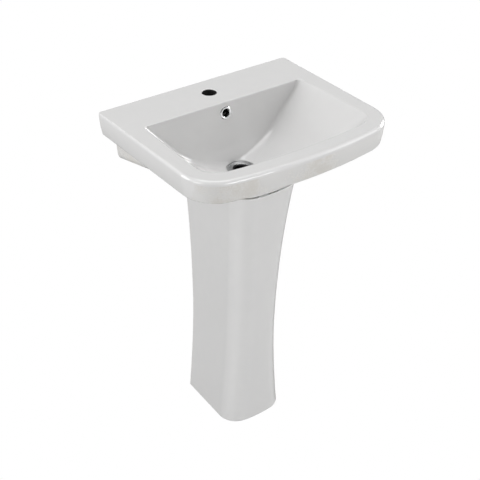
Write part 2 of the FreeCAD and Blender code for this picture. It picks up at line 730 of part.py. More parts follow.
def trap_dip_tube():
    """The inner tube that dips into the cup's water."""
    bore = pipe_radius - pipe_wall
    top = collar_top_z - trap_neck / 2
    return ring(bore, bore - pipe_wall, top - dip_tube_length, top, 0, waste_y)


def trap_cup_seal():
    return ring(trap_cup_radius - 1.0, trap_body_radius + part_gap, seal_bottom_z, seal_top_z, 0, waste_y)


def trap_cup():
    """The cup that unscrews from below, with a ribbed grip."""
    plain = trap_cup_radius - grip_rib_radius
    inner = trap_body_radius + part_gap
    low_outer = inner + trap_cup_wall - 3.0
    cup = turned([(0, cup_bottom_z), (low_outer - 8.0, cup_bottom_z), (low_outer - 2.0, cup_bottom_z + 3.0),
                  (low_outer, cup_bottom_z + 10.0), (inner + trap_cup_wall, cup_top_z - trap_cup_grip - 8.0),
                  (plain, cup_top_z - trap_cup_grip), (plain, cup_top_z),
                  (inner, cup_top_z), (inner, cup_top_z - trap_cup_grip),
                  (low_outer - trap_cup_wall, cup_bottom_z + 12.0),
                  (low_outer - 10.0, cup_bottom_z + trap_cup_wall), (0, cup_bottom_z + trap_cup_wall)],
                 0, waste_y)
    return ribbed(cup, plain, cup_ribs, cup_top_z - trap_cup_grip + 3.0, cup_top_z - 2.0, 0, waste_y)


def trap_outlet_washer():
    piece = ring(outlet_socket_radius - 0.5, pipe_radius, mouth_y, outlet_washer_y)
    return laid_along_y(piece, outlet_z)


def trap_outlet_slip_ring():
    piece = ring(outlet_socket_radius - 0.5, pipe_radius + part_gap, outlet_slip_y,
                 outlet_slip_y + slip_ring_thickness)
    return laid_along_y(piece, outlet_z)


def trap_outlet_nut():
    length = outlet_nut_end_y - outlet_nut_start_y
    nut = union_nut(length, outlet_socket_radius + thread_clearance, pipe_radius + part_gap)
    # Its lip faces the wall.
    nut.rotate(Vector(0, 0, 0), Vector(1, 0, 0), 180)
    nut.translate(Vector(0, 0, outlet_nut_end_y))
    return laid_along_y(nut, outlet_z)


def outlet_pipe():
    piece = ring(pipe_radius, pipe_radius - pipe_wall, mouth_y - outlet_insert, wall_y)
    depth, width = witness_groove
    start = outlet_nut_end_y + outlet_nut_travel + 2 * width
    piece = piece.cut(ring(pipe_radius + 1.0, pipe_radius - depth, start, start + width))
    return laid_along_y(piece, outlet_z)


# ---------------------------------------------------------------- write every piece
pieces = [
    basin_deck, basin_skirt, basin_bowl, pedestal, seat_pads, wall_bushes, floor_bushes, overflow_ring,
    waste_body, waste_top_washer, waste_bottom_washer, waste_friction_ring, waste_backnut,
    trap_inlet_washer, trap_inlet_slip_ring, trap_inlet_nut, trap_body, trap_dip_tube,
    trap_cup_seal, trap_cup, trap_outlet_washer, trap_outlet_slip_ring, trap_outlet_nut, outlet_pipe,
]
os.makedirs("parts", exist_ok=True)
for piece in pieces:
    shape = piece()
    name = piece.__name__
    print(f"{name}: {len(shape.Solids)} solid(s), {shape.Volume / 1000:.1f} cm3, valid {shape.isValid()}")
    shape.exportStep(f"parts/{name}.step")
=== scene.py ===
"""Looks of a pedestal wash basin, in metres: +Z is up and the wall is at +Y."""

import math

import bmesh
import bpy
import numpy as np
from mathutils import Matrix, Vector


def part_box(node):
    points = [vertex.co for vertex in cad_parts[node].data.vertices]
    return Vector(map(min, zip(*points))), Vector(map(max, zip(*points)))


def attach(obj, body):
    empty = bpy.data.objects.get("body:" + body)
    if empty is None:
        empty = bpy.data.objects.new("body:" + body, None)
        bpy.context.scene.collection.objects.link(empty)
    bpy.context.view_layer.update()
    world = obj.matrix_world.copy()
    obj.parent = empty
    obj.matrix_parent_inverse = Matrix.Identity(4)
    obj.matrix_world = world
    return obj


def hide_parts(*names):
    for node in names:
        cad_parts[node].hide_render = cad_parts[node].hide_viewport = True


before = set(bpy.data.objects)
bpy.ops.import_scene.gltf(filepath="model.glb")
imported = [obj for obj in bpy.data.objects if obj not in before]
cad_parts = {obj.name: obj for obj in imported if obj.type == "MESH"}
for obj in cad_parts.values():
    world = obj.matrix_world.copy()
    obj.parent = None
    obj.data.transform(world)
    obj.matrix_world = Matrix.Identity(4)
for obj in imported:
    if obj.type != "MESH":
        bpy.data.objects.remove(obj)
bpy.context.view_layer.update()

MM = 0.001

# --- sizes read from the frame
deck_low, deck_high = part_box("basin_deck")
bowl_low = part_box("basin_bowl")[0]
pedestal_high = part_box("pedestal")[1]
waste_low, waste_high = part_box("waste_body")
trap_low, trap_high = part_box("trap_body")
cup_low, cup_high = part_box("trap_cup")
pipe_low, pipe_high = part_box("outlet_pipe")

RIM_Z = deck_high.z
WALL_Y = deck_high.y
FRONT_Y = round(deck_low.y, 3)
HALF_WIDTH = round(deck_high.x, 3)
WASTE_Y = (waste_low.y + waste_high.y) / 2
BOSS_Z = bowl_low.z
OUTLET_Z = (pipe_low.z + pipe_high.z) / 2

# --- sizes of the china
SKIRT_HEIGHT = 57 * MM
SKIRT_DRAFT = 6.6 * MM
SKIRT_BELLY = 1.5 * MM
CHINA_WALL = 12 * MM
DECK_THICKNESS = 14 * MM
FRONT_CORNER = 88 * MM
BACK_CORNER = 9 * MM
FRONT_BOW = 31 * MM
DECK_DEPTH = 124 * MM
BOWL_FRONT_MARGIN = 42 * MM
BOWL_SIDE_BACK = 46 * MM
BOWL_SIDE_FRONT = 37 * MM
BOWL_BOW = 19 * MM
BOWL_BACK_CORNER = 9 * MM
BOWL_FRONT_CORNER = 50 * MM
BOWL_DEPTH = 144 * MM
RECESS_RADIUS = 34.5 * MM
RECESS_DEPTH = 4 * MM
WASTE_HOLE_RADIUS = 23 * MM
BOSS_RADIUS = 37 * MM
TAP_FROM_WALL = 60 * MM
TAP_HOLE_RADIUS = 17.5 * MM
BACK_WALL_LEAN = math.radians(6.3)
OVERFLOW_DROP = 26.5 * MM
OVERFLOW_HOLE_RADIUS = 12.5 * MM
DUCT_HALF = 24 * MM
WATERWAY_HALF = 15 * MM
WATERWAY_DEPTH = 11 * MM
WINDOW_LOW = 12 * MM            # above the boss's underside
WINDOW_HIGH = 32 * MM
WALL_BOLT_X = 140 * MM
WALL_BOLT_DROP = 88 * MM
WALL_BUSH_RADIUS = 9 * MM
APRON_HALF_WIDTH = 226 * MM
APRON_DRAFT = 0.09
APRON_DROP = 138 * MM
APRON_RISE = 0.235
APRON_ROUND = 20 * MM
APRON_REACH = 330 * MM
FLOOR_SHARE = 0.985              # of the depth, where the bowl meets the round of the recess
# share of the depth, then the share of the way out from the recess to the mouth: sides, back, front
BOWL_PROFILE = (
    (0.0, 1.0, 1.0, 1.0),
    (0.21, 0.865, 0.89, 0.91),
    (0.42, 0.715, 0.79, 0.79),
    (0.62, 0.570, 0.65, 0.64),
    (0.76, 0.435, 0.48, 0.49),
    (0.87, 0.275, 0.25, 0.31),
    (0.95, 0.115, 0.07, 0.11),
    (FLOOR_SHARE, 0.030, 0.015, 0.03),
    (1.0, 0.0, 0.0, 0.0),
)

BOWL_BACK_Y = WALL_Y - DECK_DEPTH
BOWL_FRONT_Y = FRONT_Y + BOWL_FRONT_MARGIN
BOWL_HALF_BACK = HALF_WIDTH - BOWL_SIDE_BACK
BOWL_HALF_FRONT = HALF_WIDTH - BOWL_SIDE_FRONT
RECESS_Z = RIM_Z - BOWL_DEPTH - RECESS_DEPTH
DECK_BOTTOM_Z = RIM_Z - DECK_THICKNESS
SKIRT_BOTTOM_Z = RIM_Z - SKIRT_HEIGHT
MOUTH_ROUND = 4.5 * MM
RIM_ROUND = 7.5 * MM
BACK_EDGE_ROUND = 2.5 * MM
SHARP_ANGLE = math.radians(35)
WELD = 0.01 * MM
FOUR_ANGLES = np.radians((0, 30, 60, 90))


# --- curves and rings of points
def monotone(xs, ys):
    """A smooth curve through the points that never overshoots them."""
    xs, ys = np.array(xs, float), np.array(ys, float)
    steps, slopes = np.diff(xs), np.diff(ys) / np.diff(xs)
    tangents = np.zeros(len(xs))
    tangents[0], tangents[-1] = slopes[0], slopes[-1]
    for i in range(1, len(xs) - 1):
        if slopes[i - 1] * slopes[i] > 0:
            a = 2 * steps[i] + steps[i - 1]
            b = steps[i] + 2 * steps[i - 1]
            tangents[i] = (a + b) / (a / slopes[i - 1] + b / slopes[i])

    def curve(x):
        i = int(np.clip(np.searchsorted(xs, x) - 1, 0, len(xs) - 2))
        t = (x - xs[i]) / steps[i]
        return ((1 + 2 * t) * (1 - t) ** 2 * ys[i] + t * (1 - t) ** 2 * steps[i] * tangents[i]
                + t * t * (3 - 2 * t) * ys[i + 1] + t * t * (t - 1) * steps[i] * tangents[i + 1])

    return curve


def polar(radius, angles):
    return np.column_stack([radius * np.cos(angles), radius * np.sin(angles)])


def at_height(flat, z):
    return np.column_stack([flat, np.full(len(flat), z)])


# how many steps each stretch of an outline's half is cut into
OUTLINE_STEPS = {"back": 26, "back_corner": 10, "side": 36, "front_corner": 22, "bow": 26}


def outline(half_back, half_front, y_back, y_front, r_back, r_front, bow, z):
    """Points of a D-shaped outline: straight back, splayed sides, bowed front, round corners."""
    big = (half_front ** 2 + bow ** 2) / (2 * bow)
    centre = np.array([0.0, y_front + big])
    back, front = np.array([half_back, y_back]), np.array([half_front, y_front + bow])
    along = (front - back) / np.linalg.norm(front - back)
    inward = np.array([along[1], -along[0]])
    start = back + inward * r_front - centre
    b = start @ along
    reach = -b + math.sqrt(b * b - start @ start + (big - r_front) ** 2)
    corner = back + inward * r_front + along * reach
    outward = (corner - centre) / np.linalg.norm(corner - centre)
    small = back + inward * r_back - along * (r_back + inward[1] * r_back) / along[1]

    def arc(middle, radius, first, last, count):
        a0, a1 = math.atan2(first[1], first[0]), math.atan2(last[1], last[0])
        angles = a0 + (a1 - a0) * np.arange(1, count + 1) / count
        return middle + polar(radius, angles)

    def line(a, b, count):
        return a + (b - a) * (np.arange(1, count + 1) / count)[:, None]

    steps = OUTLINE_STEPS
    first = np.array([[0.0, y_back]])
    back_end = np.array([small[0], y_back])
    half = np.concatenate([
        first,
        line(first[0], back_end, steps["back"]),
        arc(small, r_back, (0, 1), -inward, steps["back_corner"]),
        line(small - inward * r_back, corner - inward * r_front, steps["side"]),
        arc(corner, r_front, -inward, outward, steps["front_corner"]),
        arc(centre, big, outward, (0, -1), steps["bow"]),
    ])
    mirrored = half[-2:0:-1] * (-1, 1)
    flat = np.concatenate([half, mirrored])
    return at_height(flat, z)


def fillet(before, corner, after, radius, count):
    """Rings of a round of the given radius where the surface turns at the ring called corner."""
    to_before, to_after = before - corner, after - corner
    to_before /= np.linalg.norm(to_before, axis=1, keepdims=True)
    to_after /= np.linalg.norm(to_after, axis=1, keepdims=True)
    half_angle = np.arccos(np.clip((to_before * to_after).sum(1), -1, 1)) / 2
    reach = (np.broadcast_to(radius, half_angle.shape) / np.tan(half_angle))[:, None]
    weight = np.sin(half_angle)[:, None]
    a, b = corner + to_before * reach, corner + to_after * reach
    return arc_points(a, corner, b, weight, count)


def arc_points(a, corner, b, weight, count):
    """Points of a quadratic curve, which is a true arc when the weight is the half angle's sine."""
    points = []
    for t in np.linspace(0, 1, count + 1):
        first, middle, last = (1 - t) ** 2, 2 * weight * t * (1 - t), t * t
        points.append((first * a + middle * corner + last * b) / (first + middle + last))
    return points


def quarter(radius, angles):
    """How far a round's points stand in from the two faces it joins."""
    return [(radius * (1 - math.cos(a)), radius * (1 - math.sin(a))) for a in angles]


def between(first, last, count):
    """The rings strictly between two rings."""
    return [first + (last - first) * i / (count + 1) for i in range(1, count + 1)]


def skin(path, closed=True, caps=False):
    """Vertices and faces of a skin over rings of equally many points."""
    count = len(path[0])
    vertices = np.concatenate(path)
    faces = []
    for i in range(len(path) if closed else len(path) - 1):
        low, high = i * count, (i + 1) % len(path) * count
        for j in range(count):
            k = (j + 1) % count
            faces.append((low + j, low + k, high + k, high + j))
    if caps:
        faces.append(tuple(range(count - 1, -1, -1)))
        faces.append(tuple((len(path) - 1) * count + j for j in range(count)))
    return vertices, faces


def add_object(name, data):
    made = bpy.data.objects.new(name, data)
    bpy.context.scene.collection.objects.link(made)
    return made


def new_mesh(name, vertices, faces):
    """An object whose faces point outwards and are shaded smooth, with hard edges kept."""
    mesh = bpy.data.meshes.new(name)
    mesh.from_pydata([tuple(v) for v in vertices], [], faces)
    return tidy(add_object(name, mesh))


def solid(name, rings):
    """A closed shape through rings of points, capped at both ends."""
    return new_mesh(name, *skin(rings, closed=False, caps=True))


def tidy(piece):
    mesh = piece.data
    work = bmesh.new()
    work.from_mesh(mesh)
    bmesh.ops.remove_doubles(work, verts=work.verts, dist=WELD)
    bmesh.ops.dissolve_degenerate(work, edges=work.edges, dist=WELD)
    bmesh.ops.recalc_face_normals(work, faces=work.faces)
    work.to_mesh(mesh)
    work.free()
    mesh.shade_smooth()
    mesh.set_sharp_from_angle(angle=SHARP_ANGLE)
    return piece


def combine(piece, others, operation):
    """Join or cut closed shapes, then remove the helpers."""
    for other in others:
        step = piece.modifiers.new("combine", "BOOLEAN")
        step.solver = "MANIFOLD"
        step.operation = operation
        step.object = other
        flatten(piece)
        bpy.data.objects.remove(other)
    return tidy(piece)


def flatten(piece):
    """Apply every modifier on a piece."""
    view = bpy.context.evaluated_depsgraph_get()
    view.update()
    made = bpy.data.meshes.new_from_object(piece.evaluated_get(view))
    piece.modifiers.clear()
    old = piece.data
    piece.data = made
    made.name = piece.name
    bpy.data.meshes.remove(old)


# --- basin
def rim_ring(inset, z, y_back=WALL_Y):
    return outline(HALF_WIDTH - inset, HALF_WIDTH - inset, y_back, FRONT_Y + inset,
                   BACK_CORNER, FRONT_CORNER - inset, FRONT_BOW, z)


def skirt_inset(down):
    """How far the skirt's face stands in, at a share of its height."""
    curve = 2 * SKIRT_DRAFT - 4 * SKIRT_BELLY
    return curve * down * down + (SKIRT_DRAFT - curve) * down


DEPTHS, *SHARES = zip(*BOWL_PROFILE)
SIDE_BACK_FRONT = [monotone(DEPTHS, shares) for shares in SHARES]


def bowl_outline(depth_share, grow, z):
    """The bowl's section, before it is rounded towards the waste."""
    side, back, front = (curve(min(depth_share, FLOOR_SHARE)) for curve in SIDE_BACK_FRONT)
    seat = RECESS_RADIUS
    round_share = 1 - side ** 0.8
    r_back = BOWL_BACK_CORNER + (seat - BOWL_BACK_CORNER) * round_share ** 2
    r_front = BOWL_FRONT_CORNER + (seat - BOWL_FRONT_CORNER) * depth_share ** 6
    return outline(seat + (BOWL_HALF_BACK - seat) * side + grow,
                   seat + (BOWL_HALF_FRONT - seat) * side + grow,
                   WASTE_Y + seat + (BOWL_BACK_Y - WASTE_Y - seat) * back + grow,
                   WASTE_Y - seat + (BOWL_FRONT_Y - WASTE_Y + seat) * front - grow,
                   r_back + grow, r_front + grow, MM + (BOWL_BOW - MM) * front, z)


def circle_angles():
    """Where the points of a ring lie when it is round, so that lines run straight into the waste."""
    middle = bowl_outline(0.8, 0, 0)
    return np.unwrap(np.arctan2(middle[:, 1] - WASTE_Y, middle[:, 0]))


ANGLES = circle_angles()


def circle_ring(radius, z):
    return at_height(polar(radius, ANGLES) + (0, WASTE_Y), z)


def bowl_ring(depth_share, grow=0.0):
    z = RIM_Z - BOWL_DEPTH * depth_share - grow * (0.55 + 0.45 * depth_share)
    ring = bowl_outline(depth_share, grow, z)
    share = np.clip((depth_share - 0.72) / 0.28, 0, 1)
    share = share * share * (3 - 2 * share)
    radii = np.hypot(ring[:, 0], ring[:, 1] - WASTE_Y)
    # Turn each point towards its place on the round waste without changing how far out it is.
    own = np.unwrap(np.arctan2(ring[:, 1] - WASTE_Y, ring[:, 0]))
    angles = own + (ANGLES - own) * share
    exact = np.interp(angles, own[::-1], radii[::-1])
    return np.column_stack([polar(exact, angles) + (0, WASTE_Y), ring[:, 2]])


def basin_shell():
    """Bowl, deck, rim, skirt and underside as one skin that closes through the waste hole."""
    path = []
    hole_low, hole_high = circle_ring(WASTE_HOLE_RADIUS, BOSS_Z), circle_ring(WASTE_HOLE_RADIUS, RECESS_Z)
    boss_edge = circle_ring(BOSS_RADIUS, BOSS_Z)
    recess_edge = circle_ring(RECESS_RADIUS, RECESS_Z)
    recess_top = circle_ring(RECESS_RADIUS, RIM_Z - BOWL_DEPTH)
    path += fillet(boss_edge, hole_low, hole_high, 1.5 * MM, 3)
    path += between(path[-1], hole_high, 3)
    path += fillet(hole_low, hole_high, recess_edge, 1.0 * MM, 2)
    path += fillet(hole_high, recess_edge, recess_top, 1.2 * MM, 3)
    floor_near = bowl_ring(FLOOR_SHARE)
    path += fillet(recess_edge, recess_top, floor_near, 1.6 * MM, 4)
    shares = 1 - (np.linspace(0, 1, 46) ** 1.15)
    shares = [s for s in shares if 0.045 < s < 0.98]
    path += [bowl_ring(s) for s in shares]
    mouth, below = bowl_ring(0.0), bowl_ring(0.06)
    deck_edge = rim_ring(0, RIM_Z)
    path += fillet(below, mouth, deck_edge, MOUTH_ROUND, 8)
    skirt = [rim_ring(skirt_inset(t), RIM_Z - SKIRT_HEIGHT * t) for t in (0.2, 0.35, 0.5, 0.65, 0.8)]
    at_back = smooth_share(deck_edge[:, 1], WALL_Y - 12 * MM, WALL_Y - 0.5 * MM)
    edge_round = RIM_ROUND + (BACK_EDGE_ROUND - RIM_ROUND) * at_back
    edge = fillet(mouth, deck_edge, skirt[0], edge_round, 8)
    path += between(path[-1], edge[0], 9)
    path += edge + skirt
    lip = rim_ring(SKIRT_DRAFT, SKIRT_BOTTOM_Z)
    inner_lip = rim_ring(SKIRT_DRAFT + CHINA_WALL, SKIRT_BOTTOM_Z, WALL_Y - CHINA_WALL)
    under_edge = rim_ring(SKIRT_BELLY + CHINA_WALL, DECK_BOTTOM_Z, WALL_Y - CHINA_WALL)
    under_bowl = bowl_ring(0.0, CHINA_WALL)
    under_bowl[:, 2] = DECK_BOTTOM_Z
    path += fillet(skirt[-1], lip, inner_lip, 5.5 * MM, 6)
    path += fillet(lip, inner_lip, under_edge, 4 * MM, 4)
    path += between(path[-1], under_edge, 3)
    path += fillet(inner_lip, under_edge, under_bowl, 6 * MM, 4)
    bowl_under = [bowl_ring(s, CHINA_WALL) for s in np.linspace(0.12, 0.9, 20)]
    path += between(path[-1], under_bowl, 4)
    path += fillet(under_edge, under_bowl, bowl_under[0], 5 * MM, 4)
    path += bowl_under
    boss_top = circle_ring(BOSS_RADIUS, RIM_Z - BOWL_DEPTH * 0.96 - CHINA_WALL)
    path += fillet(bowl_under[-1], boss_top, boss_edge, 5 * MM, 4)
    path += between(path[-1], boss_edge, 3)
    path += fillet(boss_top, boss_edge, hole_low, 2.5 * MM, 4)
    return new_mesh("basin_china", *skin(path))


def smooth_share(values, low, high):
    t = np.clip((values - low) / (high - low), 0, 1)
    return t * t * (3 - 2 * t)


def bowl_air():
    """The space inside the bowl, as a closed shape to cut with."""
    path = [circle_ring(RECESS_RADIUS, RECESS_Z + 1 * MM), circle_ring(RECESS_RADIUS, RIM_Z - BOWL_DEPTH)]
    path += [bowl_ring(s) for s in np.linspace(0.98, 0.0, 40)]
    return solid("bowl_air", path + [path[-1] + (0, 0, 10 * MM)])


def apron_bottom(y):
    """Height of the low body's bottom edge; near its front end it runs up into the deck."""
    straight = RIM_Z - APRON_DROP + APRON_RISE * (WALL_Y - y)
    turn = float(smooth_share(np.array(WALL_Y - y), APRON_REACH - 70 * MM, APRON_REACH))
    return straight + (DECK_BOTTOM_Z - MM - straight) * turn


def apron_half(z):
    return APRON_HALF_WIDTH - APRON_DRAFT * (SKIRT_BOTTOM_Z - z)


def mirrored_ring(half, y):
    """A closed ring across the basin from its right half, given as (x, z) from the top down."""
    half = np.array(half)
    both = np.vstack([half, half[::-1] * (-1, 1)])
    return np.column_stack([both[:, 0], np.full(len(both), y), both[:, 1]])


def apron_ring(y, inset):
    """Outside of the low body: drafted sides that turn under in a round."""
    bottom, top = apron_bottom(y) + inset, DECK_BOTTOM_Z + 5 * MM - inset
    bottom = min(bottom, top - 4 * MM)
    turn = min(APRON_ROUND, (top - bottom) * 0.7)
    half = [(apron_half(z) - inset, z) for z in np.linspace(top, bottom + turn, 7)]
    middle = half[-1][0] - turn
    half += [(middle + turn * math.cos(a), bottom + turn - turn * math.sin(a))
             for a in np.radians(np.linspace(10, 90, 9))]
    half += [(middle * (1 - t), bottom) for t in np.linspace(0.1, 0.98, 8)]
    return mirrored_ring(half, y)


def apron_hollow_ring(y):
    """Inside of the low body, opening out a little at its bottom edge."""
    bottom, top = apron_bottom(y), DECK_BOTTOM_Z + 12 * MM
    half = [(apron_half(z) - CHINA_WALL, z) for z in np.linspace(top, bottom + 6 * MM, 4)]
    for out, up in ((0.3, 4.6), (1.0, 3.5), (2.2, 2.7), (2.6, -30)):
        half.append((apron_half(bottom) - CHINA_WALL + out * MM, bottom + up * MM))
    return mirrored_ring(half, y)


def apron():
    """The low body at the wall: a back plate whose ends turn forward as gussets."""
    path = [apron_ring(WALL_Y - back, inset) for back, inset in quarter(2 * MM, FOUR_ANGLES)]
    path += [apron_ring(y, 0.0) for y in np.linspace(WALL_Y - 8 * MM, WALL_Y - APRON_REACH, 44)]
    inside = [apron_hollow_ring(y)
              for y in np.linspace(WALL_Y - CHINA_WALL, WALL_Y - APRON_REACH - 9 * MM, 40)]
    return combine(solid("apron", path), [solid("apron_hollow", inside)], "DIFFERENCE")


def box_ring(x0, x1, y0, y1, radius, z):
    """A rectangle with round corners."""
    corners = ((x1 - radius, y1 - radius), (x0 + radius, y1 - radius), (x0 + radius, y0 + radius),
               (x1 - radius, y0 + radius))
    points = [polar(radius, np.radians(90 * i + 18 * np.arange(6))) + corner
              for i, corner in enumerate(corners)]
    return at_height(np.concatenate(points), z)


def lean_at(z):
    return (RIM_Z - z) * math.tan(BACK_WALL_LEAN)


def duct():
    """China round the overflow's waterway, down the bowl's back into the boss."""
    near = BOWL_BACK_Y + 4 * MM
    far = BOWL_BACK_Y + CHINA_WALL + WATERWAY_DEPTH + 9 * MM
    rings = []
    for z in np.linspace(DECK_BOTTOM_Z + 4 * MM, BOSS_Z + 3 * MM, 14):
        foot = float(smooth_share(np.array(z), RECESS_Z + 12 * MM, RECESS_Z - 10 * MM))
        front = near - lean_at(z) + (WASTE_Y + 5 * MM - near + lean_at(z)) * foot
        rings.append(box_ring(-DUCT_HALF, DUCT_HALF, front, far - lean_at(z), 6 * MM, z))
    low = rings[-1]
    (x0, y0, z0), (x1, y1, _) = low.min(axis=0), low.max(axis=0)
    for inset, rise in quarter(3 * MM, FOUR_ANGLES[1:]):
        rings.append(box_ring(x0 + inset, x1 - inset, y0 + inset, y1 - inset, 6 * MM - inset,
                              z0 - 3 * MM + rise))
    return solid("duct", rings)


def seat_rib():
    """The rib under the bowl that rests on the pedestal's pads, open towards the wall."""
    low, high, soft = pedestal_high.z + PAD_THICKNESS, pedestal_high.z + 42 * MM, 1.5 * MM
    turn = quarter(soft, (0.5, 1.0, math.pi / 2))
    profile = [(RIB_OUT, high), (RIB_OUT, low + soft)] + [(RIB_OUT + x, low + z) for x, z in turn]
    profile += [(RIB_IN - x, low + z) for x, z in reversed(turn)]
    profile += [(RIB_IN, low + soft), (RIB_IN, high)]
    layers = [pedestal_ring(pedestal_high.z, inset, z) for inset, z in profile]
    keep = [i for i in range(len(layers[0])) if layers[0][i, 1] < BOWL_BACK_Y - 3 * MM]
    return solid("seat_rib", [np.array([layer[i] for layer in layers]) for i in keep])


def turned(name, profile, steps=96, place=(0, 0, 0), closed=False):
    """A turned piece about the z axis from (radius, z) points; a radius of 0 closes a pole."""
    angles = np.arange(steps) / steps * 2 * math.pi
    rings = [at_height(polar(r, angles), z) for r, z in profile]
    vertices, faces = skin(rings, closed=closed)
    return new_mesh(name, vertices + np.array(place), faces)


def plug(name, radius, low, high, steps=96, place=(0, 0, 0)):
    """A plain cylinder to cut a hole with."""
    return turned(name, [(0, low), (radius, low), (radius, high), (0, high)], steps, place)


def rounded(points):
    """A closed profile whose corners, given as (radius, z, corner radius), are rounded."""
    result, count = [], len(points)
    for i, (r, z, size) in enumerate(points):
        here = np.array([r, z])
        if size <= 0:
            result.append((r, z))
            continue
        a = np.array(points[i - 1][:2]) - here
        b = np.array(points[(i + 1) % count][:2]) - here
        la, lb = np.linalg.norm(a), np.linalg.norm(b)
        a, b = a / la, b / lb
        half = math.acos(np.clip(a @ b, -1, 1)) / 2
        reach = min(size / math.tan(half), la * 0.48, lb * 0.48)
        result += arc_points(here + a * reach, here, here + b * reach, math.sin(half), 4)
    return result


def tap_hole_cutter():
    """A plug whose top flares out, so that the hole it cuts has a soft glazed edge."""
    lip, foot = 3.0 * MM, 1.5 * MM
    low, wide = DECK_BOTTOM_Z, TAP_HOLE_RADIUS + foot
    profile = [(0, low - 10 * MM), (wide, low - 10 * MM), (wide, low)]
    profile += [(TAP_HOLE_RADIUS + z, low + x) for x, z in quarter(foot, np.linspace(0.3, math.pi / 2, 4))]
    profile += [(TAP_HOLE_RADIUS + x, RIM_Z - z) for x, z in quarter(lip, np.linspace(0, math.pi / 2, 9))]
    profile += [(TAP_HOLE_RADIUS + lip, RIM_Z + 5 * MM), (0, RIM_Z + 5 * MM)]
    return turned("tap_hole_cutter", profile, place=(0, WALL_Y - TAP_FROM_WALL, 0))


def overflow_matrix():
    """From a piece made about the z axis with its mouth up at z = 0 to the overflow's place."""
    place = Vector((0, BOWL_BACK_Y - OVERFLOW_DROP * math.tan(BACK_WALL_LEAN), RIM_Z - OVERFLOW_DROP))
    return Matrix.Translation(place) @ Matrix.Rotation(math.pi / 2 - BACK_WALL_LEAN, 4, "X")


def along_y_matrix(z, x=0.0, y=0.0):
    """From a piece made about the z axis to one whose up points to the wall."""
    return Matrix.Translation((x, y, z)) @ Matrix.Rotation(-math.pi / 2, 4, "X")


def placed(piece, matrix):
    piece.data.transform(matrix)
    return piece


def waterway_cutters():
    """The passage behind the bowl's back wall, from the overflow down to the waste hole."""
    near = BOWL_BACK_Y + CHINA_WALL
    top, low = RIM_Z - OVERFLOW_DROP + OVERFLOW_HOLE_RADIUS, BOSS_Z + WINDOW_LOW
    rings = [box_ring(-WATERWAY_HALF, WATERWAY_HALF, near - lean_at(z), near + WATERWAY_DEPTH - lean_at(z),
                      4 * MM, z) for z in np.linspace(top, low, 8)]
    high = BOSS_Z + WINDOW_HIGH
    reach = near + WATERWAY_DEPTH - lean_at(high)
    foot = block("waterway_foot", (-WATERWAY_HALF, WASTE_Y, low), (WATERWAY_HALF, reach, high), 3 * MM)
    return [solid("waterway_upright", rings), foot]


def block(name, low, high, radius):
    return solid(name, [box_ring(low[0], high[0], low[1], high[1], radius, z) for z in (low[2], high[2])])


def basin():
    ribs = [combine(rib, [bowl_air()], "DIFFERENCE") for rib in (duct(), seat_rib())]
    china = combine(basin_shell(), [apron()] + ribs, "UNION")
    overflow = plug("overflow_cutter", OVERFLOW_HOLE_RADIUS, -17 * MM, 2 * MM)
    waste = plug("waste_cutter", WASTE_HOLE_RADIUS, BOSS_Z - 5 * MM, RECESS_Z + 5 * MM, place=(0, WASTE_Y, 0))
    cutters = [tap_hole_cutter(), waste, placed(overflow, overflow_matrix())] + waterway_cutters()
    for x in (-WALL_BOLT_X, WALL_BOLT_X):
        hole = plug("wall_hole", WALL_BUSH_RADIUS, -30 * MM, 5 * MM, 48)
        cutters.append(placed(hole, along_y_matrix(RIM_Z - WALL_BOLT_DROP, x, WALL_Y)))
    return combine(china, cutters, "DIFFERENCE")


# --- pedestal
PAD_THICKNESS = 3 * MM
RIB_OUT = 1 * MM
RIB_IN = 11 * MM
PED_BACK_Y = pedestal_high.y
PED_TOP = pedestal_high.z
PED_BASE_HALF = 78 * MM
PED_WAIST_HALF = 60.5 * MM
PED_TOP_HALF = 80 * MM
PED_WAIST_Z = 280 * MM
PED_FLARE = 9 * MM
PED_FRONT_BASE = 266 * MM
PED_FRONT_TOP = 315 * MM
PED_CORNER = 50 * MM
PED_BOW = 13 * MM
PED_WALL = 12 * MM
PED_SLOT_HALF = 40 * MM
PED_FOOT_HEIGHT = 14 * MM
PED_FOOT_WIDTH = 22 * MM
FLOOR_HOLE_RADIUS = 5 * MM
FLOOR_BOLT_X = PED_BASE_HALF - PED_WALL - PED_FOOT_WIDTH / 2 + MM
FLOOR_BOLT_Y = WALL_Y - 110 * MM


def pedestal_half(z):
    if z < PED_WAIST_Z:
        return PED_WAIST_HALF + (PED_BASE_HALF - PED_WAIST_HALF) * (1 - z / PED_WAIST_Z) ** 1.6
    rise = (z - PED_WAIST_Z) / (PED_TOP - PED_WAIST_Z)
    return PED_WAIST_HALF + (PED_TOP_HALF - PED_WAIST_HALF) * rise ** 2.2


def pedestal_ring(level, inset, z):
    """The outline at a level of the pedestal, moved in by inset, and placed at z."""
    half = pedestal_half(level)
    front = PED_FRONT_BASE + (PED_FRONT_TOP - PED_FRONT_BASE) * (level / PED_TOP) ** 2.25
    return outline(half - inset, half + PED_FLARE - inset, PED_BACK_Y - inset, WALL_Y - front + inset,
                   max(1.5 * MM, 3 * MM - inset), PED_CORNER - inset, PED_BOW, z)


def open_path(level, inset, slot_inset, z):
    """The outline cut open at the back: from the slot's right edge round the front to its left edge."""
    ring = pedestal_ring(level, inset, z)
    steps = OUTLINE_STEPS["back"]
    end, slot = ring[steps, 0], PED_SLOT_HALF + slot_inset
    ring[:steps + 1, 0] = np.linspace(slot, end, steps + 1)
    last = ring[0] * (-1, 1, 1)
    ring[-steps:, 0] = np.linspace(-end, -slot, steps + 1)[:-1]
    return np.vstack([ring, last])


